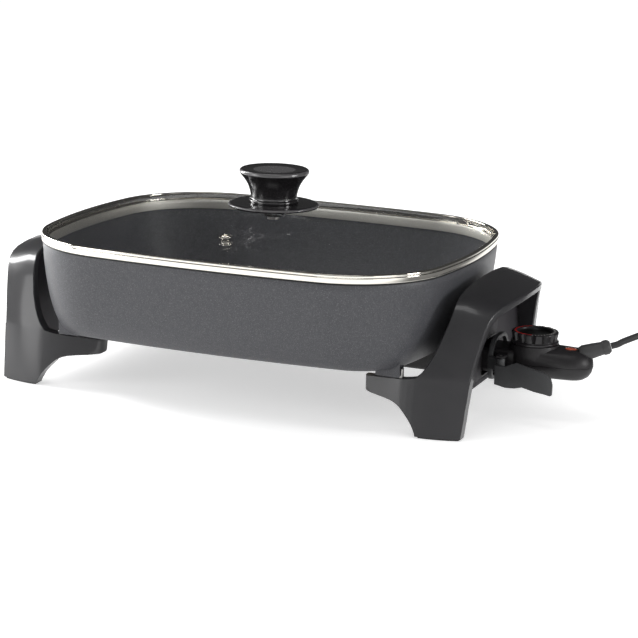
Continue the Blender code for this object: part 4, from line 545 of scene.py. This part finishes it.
def make_finishes():
    """Every finish by its name: the grained ones from their table, then those with more to them."""
    made = {}
    for name, colour, roughness, grain, shades, gloss, depth, constants in GRAINED_FINISHES:
        plain = Finish(name, colour, roughness, **constants)
        cloud = plain.noise(*grain)
        plain.set("Base Color", plain.mix(cloud, *shades))
        if gloss:
            plain.set("Roughness", gloss[0] + cloud * gloss[1])
        if depth:
            plain.relief(cloud, *depth)
        made[name] = plain

    coat = Finish("charcoal_non_stick", (0.070, 0.071, 0.078), 0.42, Specular_IOR_Level=0.4)
    fleck = coat.noise(1500, 1.0).step(0.56, 0.68)
    mottle = coat.noise(240, 3.0)
    base = coat.mix(mottle, (0.050, 0.051, 0.057), (0.078, 0.079, 0.087))
    coat.set("Base Color", coat.mix(fleck * 0.5, base, (0.20, 0.20, 0.21)))
    coat.set("Roughness", 0.34 + mottle * 0.14)
    coat.relief(coat.noise(900, 2.0), 0.00006, 0.6)
    made["charcoal_non_stick"] = coat

    phenolic = Finish("black_phenolic", (0.020, 0.020, 0.022), 0.42, Coat_Weight=0.6, Coat_Roughness=0.14)
    cloud = phenolic.noise(60, 3.0)
    phenolic.set("Base Color", phenolic.mix(cloud, (0.017, 0.017, 0.019), (0.024, 0.023, 0.026)))
    phenolic.set("Roughness", 0.40 + cloud * 0.08)
    phenolic.relief(phenolic.noise(1600, 2.0), 0.00003, 0.5)
    made["black_phenolic"] = phenolic

    probe = Finish("black_probe_plastic", (0.014, 0.013, 0.014), 0.46)
    grain = probe.noise(1500, 2.0)
    probe.set("Base Color", probe.mix(probe.noise(80), (0.011, 0.010, 0.011), (0.018, 0.016, 0.018)))
    probe.set("Roughness", 0.42 + grain * 0.08)
    probe.relief(grain, 0.00003, 0.5)
    made["black_probe_plastic"] = probe

    face = Finish("dial_face", (0.014, 0.013, 0.014), 0.34)
    x, y, z = face.axes("Object")
    x = x - DIAL_PLACE[0]
    radius = (x * x + y * y) ** 0.5
    turn = y.maths("ARCTAN2", y, x) * (0.5 / math.pi) + 0.5
    top = z.step(DIAL_TOP - RING_DEPTH[0], DIAL_TOP - RING_DEPTH[1])
    ring = radius.step(*RING_INNER) * (1 - radius.step(*RING_OUTER)) * top
    warm = turn.step(*WARM_START) + (1 - turn.step(*WARM_END))
    count = turn * TICK_COUNT
    ticks = count.maths("FRACT", count).step(*TICK_EDGE) * (1 - warm)
    plain = face.mix(face.noise(80), (0.011, 0.010, 0.011), (0.018, 0.016, 0.018))
    # The recess inside the ring is painted near black: painted shade
    base = face.mix(radius.step(*RECESS_PAINTED_SHADE), (0.003, 0.003, 0.003), plain)
    marked = face.mix(ring * warm, base, (0.55, 0.02, 0.02))
    face.set("Base Color", face.mix(ring * ticks, marked, (0.62, 0.60, 0.58)))
    face.set("Roughness", 0.26 + face.noise(1500, 2.0) * 0.10)
    made["dial_face"] = face

    knob = Finish("gloss_black_knob", (0.011, 0.010, 0.011), 0.20, IOR=1.80, Coat_Weight=0.2,
                  Coat_Roughness=0.08)
    smudge = knob.noise(70, 3.0).step(0.45, 0.70)
    knob.set("Roughness", 0.18 + smudge * 0.06)
    made["gloss_black_knob"] = knob

    # A lighter grey for the knob's rim band and the disc's edge: painted sheen, standing in for their
    # reflections
    ring = Finish("knob_edge_painted_sheen", (0.085, 0.082, 0.085), 0.25, IOR=1.80)
    ring.set("Roughness", 0.22 + ring.noise(300, 2.0) * 0.08)
    made["knob_edge_painted_sheen"] = ring

    chrome = Finish("polished_steel", (0.83, 0.80, 0.73), 0.10, Metallic=1.0)
    polish = chrome.noise(40, 3.0, 12)
    chrome.set("Roughness", 0.07 + polish * 0.08)
    chrome.relief(chrome.noise(900, 1.0, 6), 0.00001, 0.4)
    made["polished_steel"] = chrome

    satin = Finish("satin_steel", (0.88, 0.86, 0.79), 0.45, Metallic=1.0)
    brushed = satin.noise(300, 2.0, 14)
    satin.set("Roughness", 0.40 + brushed * 0.16)
    satin.relief(brushed, 0.00002, 0.5)
    made["satin_steel"] = satin

    # Near black for the pan's rounded rim top: a painted shadow, standing in for the shade under the lid's
    # band
    edge = Finish("rim_painted_shadow", (0.010, 0.010, 0.011), 0.60)
    edge.set("Roughness", 0.56 + edge.noise(700, 2.0) * 0.10)
    made["rim_painted_shadow"] = edge

    steel = Finish("plain_steel", (0.46, 0.45, 0.44), 0.34, Metallic=1.0)
    turning = steel.noise(900, 2.0)
    steel.set("Base Color", steel.mix(steel.noise(150), (0.36, 0.35, 0.34), (0.52, 0.51, 0.50)))
    steel.set("Roughness", 0.28 + turning * 0.14)
    steel.relief(turning, 0.00002, 0.5)
    made["plain_steel"] = steel

    sheathing = Finish("element_sheath", (0.22, 0.20, 0.18), 0.46, Metallic=0.9)
    heat = sheathing.noise(30, 3.0)
    sheathing.set("Base Color", sheathing.mix(heat.step(0.35, 0.65), (0.15, 0.13, 0.12), (0.26, 0.22, 0.16)))
    sheathing.set("Roughness", 0.40 + heat * 0.16)
    sheathing.relief(sheathing.noise(1100, 2.0), 0.00003, 0.5)
    made["element_sheath"] = sheathing

    glass = Finish("clear_glass", (0.93, 0.96, 0.95), 0.02, Transmission_Weight=1.0, IOR=1.30,
                   Specular_IOR_Level=0.40)
    glass.set("Roughness", 0.01 + glass.noise(90, 2.0).step(0.5, 0.8) * 0.02)
    glass.see_through(0.86)
    made["clear_glass"] = glass

    return made


# Modelling, with Blender's own operators


def select_only(piece):
    """Makes a piece the active one and the only one selected."""
    bpy.ops.object.select_all(action="DESELECT")
    piece.select_set(True)
    bpy.context.view_layer.objects.active = piece


def edit_all():
    """Opens the active piece in edit mode with all of it selected."""
    bpy.ops.object.mode_set(mode="EDIT")
    bpy.ops.mesh.select_all(action="SELECT")


def leave_edit():
    bpy.ops.object.mode_set(mode="OBJECT")


def face_outwards():
    """Selects all of the piece in edit mode and turns its faces outwards."""
    bpy.ops.mesh.select_all(action="SELECT")
    bpy.ops.mesh.normals_make_consistent(inside=False)


def apply_modifier(piece, kind, **settings):
    modifier = piece.modifiers.new(kind.lower(), kind)
    for label, value in settings.items():
        setattr(modifier, label, value)
    select_only(piece)
    bpy.ops.object.modifier_apply(modifier=modifier.name)


def bevel_edges(piece, width, segments, degrees):
    """Bevels the edges where the surface turns by more than some degrees."""
    apply_modifier(piece, "BEVEL", width=width, segments=segments, limit_method="ANGLE",
                   angle_limit=math.radians(degrees))


def combine(piece, other, operation):
    """Adds another piece's solid to a piece, cuts it away or keeps what both share."""
    apply_modifier(piece, "BOOLEAN", operation=operation, solver="EXACT", object=other)
    bpy.data.objects.remove(other)


def soften(piece, degrees=SMOOTH_ANGLE):
    """Shades a piece smooth, but for edges where it turns by more than some degrees."""
    select_only(piece)
    bpy.ops.object.shade_smooth_by_angle(angle=math.radians(degrees))


def new_point(name, place):
    """Starts a piece as one point and stays in edit mode."""
    bpy.ops.object.select_all(action="DESELECT")
    bpy.ops.mesh.primitive_plane_add(size=1)
    piece = bpy.context.object
    piece.name = piece.data.name = name
    bpy.ops.object.mode_set(mode="EDIT")
    bpy.ops.mesh.merge(type="CENTER")
    bpy.ops.transform.translate(value=place)
    return piece


def draw(points):
    """Extrudes the selected point along a line of points."""
    for before, after in zip(points, points[1:]):
        step = tuple(Vector(after) - Vector(before))
        bpy.ops.mesh.extrude_region_move(TRANSFORM_OT_translate={"value": step})


def pick(piece, chosen):
    """Selects the vertices whose places are chosen, in edit mode, with the edges and faces between them."""
    bpy.ops.object.mode_set(mode="OBJECT")
    mesh = piece.data
    for face in mesh.polygons:
        face.select = False
    for edge in mesh.edges:
        edge.select = False
    for vertex in mesh.vertices:
        vertex.select = bool(chosen(vertex))
    bpy.ops.object.mode_set(mode="EDIT")
    bpy.ops.mesh.select_mode(type="VERT")


def close_line(piece):
    """Joins the first and last points of a drawn line."""
    last = len(piece.data.vertices)
    pick(piece, lambda v: v.index in (0, last - 1))
    bpy.ops.mesh.edge_face_add()
    bpy.ops.mesh.select_all(action="SELECT")


def spin(centre, angle, steps):
    """Turns the selection about an upright axis, anticlockwise from above."""
    bpy.ops.mesh.spin(steps=steps, angle=-angle, center=(centre[0], centre[1], 0), axis=(0, 0, 1))


def spin_quarter(corner):
    """Carries the selection from the front's middle to the right side's middle."""
    for (centre, angle), steps in zip(quarter_turns(corner), QUARTER_STEPS):
        spin(centre, angle, steps)


def quarter_turns(corner):
    """Centres and angles of a quarter outline's three turns: long side, corner, short side."""
    long_centre = Vector((0, LONG_ARC - HALF_WIDTH))
    short_centre = Vector((HALF_LENGTH - SHORT_ARC, 0))
    span = short_centre - long_centre
    reach, other = LONG_ARC - corner, SHORT_ARC - corner
    along = (reach**2 - other**2 + span.length_squared) / (2 * span.length)
    aside = math.sqrt(reach**2 - along**2)
    foot = long_centre + span.normalized() * along
    offset = Vector((-span.y, span.x)).normalized() * aside
    centre = max(foot + offset, foot - offset, key=lambda p: p.x - p.y)
    first = math.atan2(centre.x, long_centre.y - centre.y)
    last = math.atan2(-centre.y, centre.x - short_centre.x)
    return (long_centre, first), (centre, math.pi / 2 - first - last), (short_centre, last)


def mirror_quarter(piece):
    """Leaves edit mode and mirrors a quarter to the whole."""
    leave_edit()
    apply_modifier(piece, "MIRROR", use_axis=(True, True, False), merge_threshold=MERGE_HALVES)


def to_pan_centre():
    """Turns the edited piece's faces outwards, moves it to the pan's centre and leaves edit mode."""
    face_outwards()
    bpy.ops.transform.translate(value=(PAN_X, 0, 0))
    leave_edit()


def rounded(corners, steps=4):
    """A line through corners of X, Z and radius, with the corners rounded."""
    places = [Vector((x, 0, z)) for x, z, _ in corners]
    line = [places[0]]
    for before, place, after, (_, _, radius) in zip(places, places[1:], places[2:], corners[1:]):
        if radius == 0:
            line.append(place)
            continue
        back, ahead = before - place, after - place
        reach = min(radius, back.length * EDGE_SHARE, ahead.length * EDGE_SHARE)
        start, stop = place + back.normalized() * reach, place + ahead.normalized() * reach
        for i in range(steps + 1):
            t = i / steps
            line.append(start.lerp(place, t).lerp(place.lerp(stop, t), t))
    return [*line, places[-1]]


def sweep_round(name, section):
    """A closed section of insets and heights carried round the pan's outline."""
    points = [Vector((0, p.x - HALF_WIDTH, p.z)) for p in section]
    piece = new_point(name, points[0])
    draw(points)
    close_line(piece)
    spin_quarter(RIM_CORNER)
    mirror_quarter(piece)
    edit_all()
    bpy.ops.mesh.remove_doubles(threshold=MERGE_SWEPT)
    to_pan_centre()
    return piece


def turn_round(name, profile, steps, place=(0, 0, 0)):
    """A profile of radii and heights turned about Z, its ends both on the axis or joined."""
    points = [Vector((p[0], 0, p[1])) for p in profile]
    piece = new_point(name, points[0])
    draw(points)
    if points[0].x > 0:
        close_line(piece)
    bpy.ops.mesh.select_all(action="SELECT")
    spin((0, 0), 2 * math.pi, steps)
    bpy.ops.mesh.select_all(action="SELECT")
    bpy.ops.mesh.remove_doubles(threshold=MERGE_TURNED)
    face_outwards()
    bpy.ops.transform.translate(value=place)
    leave_edit()
    return piece


def fill_and_raise(step):
    """Fills the selected outline with a face and carries that along a step to make a solid."""
    bpy.ops.mesh.edge_face_add()
    bpy.ops.mesh.extrude_region_move(TRANSFORM_OT_translate={"value": tuple(step)})
    face_outwards()
    leave_edit()


def outline_solid(name, points, step):
    """A solid from a flat outline carried along a step."""
    piece = new_point(name, points[0])
    draw(points)
    close_line(piece)
    fill_and_raise(step)
    return piece


def smooth_copy(node, name, edge=0.0):
    """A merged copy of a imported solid, its sharp edges rounded off by a small bevel."""
    piece = bpy.data.objects.new(name, frame["nodes"][node].data.copy())
    bpy.context.scene.collection.objects.link(piece)
    select_only(piece)
    edit_all()
    bpy.ops.mesh.remove_doubles(threshold=MERGE_COPY)
    bpy.ops.mesh.customdata_custom_splitnormals_clear()
    leave_edit()
    if edge:
        bevel_edges(piece, edge, 2, COPY_ANGLE)
    soften(piece)
    return piece


def dress(piece, body, slot, *nodes, finish=None):
    """Puts a piece on its body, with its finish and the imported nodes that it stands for."""
    piece.data.materials.clear()
    piece.data.materials.append(finishes[finish or slot].material)
    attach(piece, body)
    if nodes:
        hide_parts(*nodes)
    return piece


def paint_part(piece, finish, chosen):
    """Gives the chosen part of a piece another finish."""
    piece.data.materials.append(finishes[finish].material)
    select_only(piece)
    pick(piece, chosen)
    piece.active_material_index = len(piece.data.materials) - 1
    bpy.ops.object.material_slot_assign()
    leave_edit()


# Pan


def wall_rows(count):
    """Insets and heights of the wall's outside from rim to floor, on a smooth curve."""
    shares = [Vector((0, inset, drop)) for inset, drop in WALL_SHARES]
    rows = [(p.y * PAN_DRAFT, PAN_RIM - p.z * PAN_DEPTH) for p in smooth_points(shares, count)]
    part = RIM_ROUND * RIM_MIDDLE
    return [(RIM_ROUND, PAN_RIM), (part, PAN_RIM - part), (0, PAN_RIM - RIM_ROUND), *rows[1:]]


def ring_point(inset, height):
    """The front's middle at an inset and a height."""
    return Vector((0, inset - HALF_WIDTH, height))


def wall_solid(name, rows):
    """A closed solid whose rings are drawn by spins and joined by bridges; a row is inset, height, corner."""
    piece = None
    for inset, height, corner in rows:
        if piece is None:
            piece = new_point(name, ring_point(inset, height))
        else:
            bpy.ops.mesh.select_all(action="DESELECT")
            bpy.ops.mesh.primitive_plane_add(size=1)
            bpy.ops.mesh.merge(type="CENTER")
            bpy.ops.transform.translate(value=ring_point(inset, height))
        spin_quarter(corner + inset)
    mirror_quarter(piece)
    heights = [height for _, height, _ in rows]
    for upper, lower in zip(heights, heights[1:]):
        pick(piece, lambda v: min(abs(v.co.z - upper), abs(v.co.z - lower)) < SAME_HEIGHT)
        bpy.ops.mesh.select_mode(type="EDGE")
        bpy.ops.mesh.bridge_edge_loops()
    for end in (heights[0], heights[-1]):
        pick(piece, lambda v: abs(v.co.z - end) < SAME_HEIGHT)
        bpy.ops.mesh.edge_face_add()
    to_pan_centre()
    return piece


def boss_pad(side, end):
    """A round-ended pad under the pan, from the screw in towards the pan's middle."""
    middle = (side * BOSS_X + PAN_X, end * BOSS_Y)
    inner = (middle[0] - side * BOSS_PAD, middle[1])
    pad = new_point("boss_pad", (middle[0], middle[1] - BOSS_RADIUS, BOSS_FOOT))
    spin(middle, -side * math.pi, PAD_STEPS)
    draw(((middle[0], middle[1] + BOSS_RADIUS, 0), (inner[0], middle[1] + BOSS_RADIUS, 0)))
    spin(inner, -side * math.pi, PAD_STEPS)
    bpy.ops.mesh.select_all(action="SELECT")
    bpy.ops.mesh.remove_doubles(threshold=MERGE_TURNED)
    close_line(pad)
    fill_and_raise((0, 0, BOSS_HEIGHT))
    return pad


def make_pan():
    """The cast pan: its outside with four pads, hollowed, and bored for the arms' screws."""
    outside = wall_rows(2)
    last = len(outside) - 1
    rows, hollow = [], []
    for k, (inset, height) in enumerate(outside):
        share = inset / PAN_DRAFT if k >= RIM_ROWS else 0
        corner = RIM_CORNER + (FLOOR_CORNER - RIM_CORNER) * share
        if k < RIM_ROWS - 1:
            corner -= inset
        rows.append((inset, height, corner))
        if k < RIM_ROWS:
            continue
        ahead, behind = outside[min(k + 1, last)], outside[k - 1]
        along = Vector((ahead[0] - behind[0], ahead[1] - behind[1])).normalized()
        wall = RIM_WALL + (FLOOR_WALL - RIM_WALL) * k / last
        deeper = inset - along.y * wall
        higher = height + along.x * wall
        hollow.append((deeper, higher, corner + inset - deeper))
    hollow.insert(0, (RIM_WALL, PAN_RIM + CUT_SPARE, RIM_CORNER - RIM_WALL))
    hollow[-1] = (PAN_DRAFT, PAN_FLOOR + FLOOR_WALL, hollow[-1][2])
    pan = wall_solid("cast_pan", rows)
    for side, end in CORNERS:
        combine(pan, boss_pad(side, end), "UNION")
    combine(pan, wall_solid("pan_hollow", hollow), "DIFFERENCE")
    for side, end in CORNERS:
        place = (side * BOSS_X + PAN_X, end * BOSS_Y, BOSS_FOOT)
        bpy.ops.mesh.primitive_cylinder_add(vertices=BORE_STEPS, radius=BORE_RADIUS, depth=2 * BORE_DEPTH,
                                            location=place)
        combine(pan, bpy.context.object, "DIFFERENCE")
    soften(pan)
    return pan


# Lid


def make_band():
    """The steel band: its section carried round the lid."""
    section = rounded([(inset, BAND_LOW + rise, radius) for inset, rise, radius in BAND_SECTION])
    for point in section:
        point.x -= LID_OVERHANG
    band = sweep_round("rim_band", section[:-1])
    soften(band)
    return band


def dome_height(share):
    """The glass's height at a share of the way from its middle to its lip."""
    return GLASS_EDGE + DOME_RISE * (1 - share**DOME_POWER)


def make_glass():
    """The pane: its edge drawn round the lid, then drawn in and up in rows to the knob's hole."""
    inset = SHEET + FIT - LID_OVERHANG
    lip = 1 - (LIP_REACH - SHEET) / HALF_WIDTH
    shares = (*DOME_SHARES, GLASS_HOLE / (HALF_WIDTH - inset))
    rows = [(1, GLASS_EDGE), (lip, GLASS_EDGE)] + [(s, dome_height(s / lip)) for s in shares]
    pane = new_point("glass_pane", ring_point(inset, GLASS_EDGE))
    spin_quarter(RIM_CORNER)
    bpy.ops.mesh.select_all(action="SELECT")
    for (wide, low), (narrow, high) in zip(rows, rows[1:]):
        bpy.ops.mesh.extrude_region_move(TRANSFORM_OT_translate={"value": (0, 0, high - low)})
        ratio = narrow / wide
        squeeze = 1.0 if narrow > SQUEEZE_START else 1 - DOME_SQUEEZE * (wide - narrow) / SQUEEZE_START
        bpy.ops.transform.resize(value=(ratio * squeeze, ratio, 1), center_override=(0, 0, 0))
    mirror_quarter(pane)
    edit_all()
    to_pan_centre()
    if sum(face.normal.z for face in pane.data.polygons) < 0:
        bpy.ops.object.mode_set(mode="EDIT")
        bpy.ops.mesh.flip_normals()
        leave_edit()
    apply_modifier(pane, "SOLIDIFY", thickness=GLASS_THICK, offset=-1)
    soften(pane)
    return pane


def make_knob():
    """The grip, turned from its side's curve and a shallow dish on top."""
    points = [Vector((r * KNOB_RADIUS, 0, KNOB_BOTTOM + h * KNOB_HEIGHT)) for r, h in KNOB_SHARES]
    side = smooth_points(points, 5)
    dish = side[-1]
    profile = [(0, KNOB_BOTTOM), *((p.x, p.z) for p in side)]
    profile += [(dish.x * share, dish.z - depth) for share, depth in KNOB_DISH]
    knob = turn_round("knob_grip", profile, KNOB_STEPS, (PAN_X, 0, 0))
    soften(knob, ROUND_ANGLE)
    return knob


def make_disc():
    """The flat disc under the grip."""
    profile = [(p.x, p.z) for p in rounded(DISC_SECTION)]
    disc = turn_round("knob_disc", profile, KNOB_STEPS, (PAN_X, 0, 0))
    soften(disc, ROUND_ANGLE)
    return disc


# End frames


def bow(x):
    """How far the bowed face stands back at an X."""
    return (x - APEX_X) ** 2 / (2 * BOW_RADIUS)


def leg_rows():
    """Height, inner edge's X, outer edge's X and the shift of the bowed face at each station."""
    rows = []
    for height, reach, distance, flare in LEG_SHARES:
        outer = FOOT_OUTER + flare * FOOT_TUCK
        rows.append((max(height * ELBOW_Z, LEG_BOTTOM), GRIP_INNER - reach * ARM_REACH, outer,
                     -distance * FEET_HALF_WIDTH - bow(outer)))
    return rows


def make_leg():
    """The right front leg and its arm: a bowed band that leans, cut to the leg's outline."""
    rows = leg_rows()
    top, inner_top, outer_top, _ = rows[-1]
    edge = FRAME_EDGE / (outer_top - inner_top)
    across = [inner_top + (outer_top - inner_top) * (edge + (1 - 2 * edge) * i / FACE_STEPS)
              for i in range(FACE_STEPS + 1)]
    across = [FACE_START + FACE_STEP * i for i in range(ARM_STEPS)] + across + [*FACE_ENDS]
    front = [Vector((x, bow(x), 0)) for x in across]
    back = [point + Vector((0, LEG_THICK, 0)) for point in reversed(front)]
    start = Vector((0, rows[0][3], rows[0][0]))
    rise = Vector((0, rows[-1][3] - rows[0][3], rows[-1][0] - rows[0][0])) * RISE_SPARE
    leg = outline_solid("leg_and_arm", [point + start for point in front + back], rise)
    inner = [Vector((row[1], -CUT_REACH, row[0])) for row in rows]
    outer = [Vector((row[2], -CUT_REACH, row[0])) for row in rows]
    under, tip = inner[ARM_TIP - 1], inner[ARM_TIP]
    below = smooth_points([*inner[:ARM_TIP - 2], under], 4)
    middle = under.lerp(tip, 0.5) + Vector((ARM_SLANT[0], 0, ARM_SLANT[1]))
    end = smooth_points([under, middle, tip], 3)
    above = smooth_points(inner[ARM_TIP + 1:], 4)
    lift = Vector((0, 0, CUT_LIFT))
    outline = [outer[0] - lift, *outer, outer[-1] + lift, inner[-1] + lift]
    outline += [*above[::-1], *end[::-1], *below[-2::-1], inner[0] - lift]
    silhouette = outline_solid("leg_outline", outline, (0, CUT_REACH, 0))
    combine(leg, silhouette, "INTERSECT")
    shift = rows[ARM_TIP][3]
    corner = Vector((tip.x, shift + bow(tip.x), WASTE_LOW))
    start = Vector((corner.x + ARM_ROUND, shift + bow(corner.x + ARM_ROUND), WASTE_LOW))
    stop = corner + Vector((0, ARM_ROUND, 0))
    waste = [start.lerp(corner, t / 8).lerp(corner.lerp(stop, t / 8), t / 8) for t in range(9)]
    left, front_side = corner.x - WASTE_WIDE, corner.y - WASTE_WIDE
    for x, y in ((left, stop.y), (left, front_side), (start.x, front_side)):
        waste.append(Vector((x, y, WASTE_LOW)))
    combine(leg, outline_solid("arm_end_waste", waste, (0, 0, WASTE_TALL)), "DIFFERENCE")
    bevel_edges(leg, FRAME_EDGE, 1, ROUND_ANGLE)
    return leg


def cut_at_elbow(**half):
    """Cuts the selection of the piece in edit mode at the elbow's height and drops one half."""
    bpy.ops.mesh.bisect(plane_co=(0, 0, ELBOW_Z), plane_no=(0, 0, 1), use_fill=True, **half)


def make_frame(name, node, side):
    """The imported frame's grip, with the two finer legs and arms under it."""
    grip = smooth_copy(node, name)
    edit_all()
    cut_at_elbow(clear_inner=True)
    leave_edit()
    seat = BOSS_FOOT - FIT - SCREW_SEAT
    hole_profile = ((0, HOLE_FOOT), (BORE_HEAD, HOLE_FOOT), (BORE_HEAD, seat), (BORE_RADIUS, seat),
                    (BORE_RADIUS, BOSS_FOOT + CUT_SPARE), (0, BOSS_FOOT + CUT_SPARE))
    for end in (1, -1):
        leg = make_leg()
        edit_all()
        bpy.ops.transform.resize(value=(side, end, 1), center_override=(0, 0, 0))
        cut_at_elbow(clear_outer=True)
        to_pan_centre()
        combine(grip, leg, "UNION")
        place = (side * BOSS_X + PAN_X, end * BOSS_Y, 0)
        combine(grip, turn_round("screw_hole", hole_profile, BORE_STEPS, place), "DIFFERENCE")
    edit_all()
    bpy.ops.mesh.remove_doubles(threshold=MERGE_FRAME)
    bpy.ops.mesh.dissolve_limited(angle_limit=math.radians(FLAT_ANGLE))
    leave_edit()
    soften(grip, FRAME_ANGLE)
    apply_modifier(grip, "WEIGHTED_NORMAL", keep_sharp=True)
    return grip


# Heat control


def make_dial():
    """The dial: a skirt, a grooved side that flares upwards, a flat ring and a recess."""
    profile = [(p.x, p.z) for p in rounded(DIAL_SECTION)]
    dial = turn_round("dial_cap", profile, DIAL_STEPS, DIAL_PLACE)
    for i in range(DIAL_SLOTS):
        bpy.ops.mesh.primitive_cube_add(size=1)
        slot = bpy.context.object
        turn = 2 * math.pi * i / DIAL_SLOTS
        bpy.ops.object.mode_set(mode="EDIT")
        bpy.ops.transform.rotate(value=math.pi / 4, orient_axis="Z")
        bpy.ops.transform.resize(value=SLOT_SIZE)
        bpy.ops.transform.translate(value=(SLOT_OUT, 0, DIAL_FOOT + SLOT_FOOT + SLOT_SIZE[2] / 2))
        bpy.ops.transform.rotate(value=turn, orient_axis="Z", center_override=(0, 0, 0))
        bpy.ops.transform.translate(value=DIAL_PLACE)
        leave_edit()
        combine(dial, slot, "DIFFERENCE")
    bevel_edges(dial, DIAL_EDGE, 2, SMOOTH_ANGLE)
    soften(dial)
    return dial


def oval_solid(name, profile, place, half):
    """A turned solid stretched to an oval."""
    piece = turn_round(name, profile, OVAL_STEPS)
    edit_all()
    bpy.ops.transform.resize(value=(*half, 1), center_override=(0, 0, 0))
    bpy.ops.transform.translate(value=(*place, 0))
    leave_edit()
    return piece


def make_upper_shell():
    """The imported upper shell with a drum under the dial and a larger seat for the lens."""
    shell = smooth_copy("probe_upper_shell", "upper_shell", SHELL_EDGE)
    combine(shell, turn_round("drum", DRUM_PROFILE, KNOB_STEPS, DIAL_PLACE), "UNION")
    combine(shell, oval_solid("lens_seat", SEAT_PROFILE, SEAT_PLACE, SEAT_HALF), "UNION")
    soften(shell)
    return shell


def make_lens():
    """The oval window over the lamp, slightly domed."""
    lens = oval_solid("lens_window", LENS_PROFILE, LENS_PLACE, LENS_HALF)
    soften(lens, ROUND_ANGLE)
    return lens


# Studio


def make_world():
    """A white world: bright to the camera, softer as light, and dark in reflections except from the front."""
    world = bpy.data.worlds.new("studio")
    bpy.context.scene.world = world
    world.use_nodes = True
    sky = Nodes(world.node_tree)
    background = sky.tree.nodes["Background"]
    camera, glossy, through = sky.rays()
    level = camera.maths("MAXIMUM", camera, through).remap(0, 1, WORLD_LEVEL, 1.0)
    front = sky.axes("Generated")[1].remap(*FRONT_SPAN, WORLD_SHINE, FRONT_SHINE)
    sky.put(background.inputs["Strength"], glossy.remap(0, 1, level, front))
    sky.put(background.inputs["Color"], (1, 1, 1, 1))


def make_floor():
    """A white floor that glows in what is seen and reflected, but not behind the right end in reflections."""
    bpy.ops.object.select_all(action="DESELECT")
    bpy.ops.mesh.primitive_plane_add(size=FLOOR_SIZE)
    floor = bpy.context.object
    floor.name = "floor"
    white = Finish("floor_white", FLOOR_WHITE, 0.9, Specular_IOR_Level=0.0)
    white.set("Emission Color", (1, 1, 1, 1))
    camera, glossy, through = white.rays()
    x, y, _ = white.axes("Object")
    dim = x.step(*SWEEP_END) * y.step(*SWEEP_SIDE) * glossy * SWEEP_DIM
    white.set("Base Color", white.mix(dim, FLOOR_WHITE, (0, 0, 0)))
    white.set("Emission Strength", (camera + glossy + through) * FLOOR_GLOW * (1 - dim))
    floor.data.materials.append(white.material)


def make_lamps():
    """Softboxes, each aimed from its place at a point of the skillet."""
    for name, place, aim, roll, wide, tall, power in SOFTBOXES:
        data = bpy.data.lights.new(name, "AREA")
        data.shape = "RECTANGLE"
        data.size, data.size_y, data.energy = wide, tall, power
        lamp = bpy.data.objects.new(name, data)
        bpy.context.scene.collection.objects.link(lamp)
        turn = (Vector(place) - Vector(aim)).to_track_quat("Z", "Y").to_matrix().to_4x4()
        roll_turn = Matrix.Rotation(math.radians(roll), 4, "Z")
        lamp.matrix_world = Matrix.Translation(Vector(place)) @ turn @ roll_turn


# Dressing


set_camera()
lead, lead_start = make_cord()
finishes = make_finishes()
for row in frame["record"]["subparts"]:
    frame["nodes"][row["node"]].data.materials.clear()
    frame["nodes"][row["node"]].data.materials.append(finishes[row["material_slot"]].material)

cast = dress(make_pan(), "root", "charcoal_non_stick", "pan")
# The rounded top of the pan's rim takes the painted shadow: a dark line where the band's shade falls
paint_part(cast, "rim_painted_shadow", lambda v: v.co.z > PAN_RIM - RIM_ROUND - PAINT_SLACK)
band = dress(make_band(), "lid", "polished_steel", "lid_rim")
paint_part(band, "satin_steel",
           lambda v: v.co.z < BAND_LOW + SHEET and abs(v.co.z - BAND_LOW) > PAINT_SLACK)
dress(make_glass(), "lid", "clear_glass", "lid_glass")
grip = dress(make_knob(), "lid", "gloss_black_knob", "knob")
# The knob's rim band and the disc's outer edge are painted lighter: painted sheen
rim_low, rim_high = (KNOB_BOTTOM + share * KNOB_HEIGHT for share in KNOB_EDGE)
paint_part(grip, "knob_edge_painted_sheen", lambda v: rim_low < v.co.z < rim_high)
disc = dress(make_disc(), "lid", "gloss_black_knob", "knob_base")
paint_part(disc, "knob_edge_painted_sheen", lambda v: v.co.z > DISC_BOTTOM + DISC_EDGE_LOW and
           math.hypot(v.co.x - PAN_X, v.co.y) > DISC_RADIUS * DISC_EDGE_SHARE)
for node, name, body, slot, edge in COPIES:
    finish = COPY_FINISHES.get(node, slot)
    dress(smooth_copy(node, name, edge), body, slot, node, finish=finish)
dress(make_frame("left_leg_and_grip", "left_end_frame", -1), "root", "black_phenolic", "left_end_frame")
dress(make_frame("right_leg_and_grip", "right_end_frame", 1), "root", "black_phenolic", "right_end_frame")
dress(make_dial(), "dial", "black_probe_plastic", "dial", finish="dial_face")
dress(make_upper_shell(), "probe", "black_probe_plastic", "probe_upper_shell")
dress(make_lens(), "probe", "amber_lens", "indicator_lens")

dress(lead, "probe", "cord_black")

bpy.context.scene.view_settings.view_transform = "Standard"
make_world()
make_floor()
make_lamps()
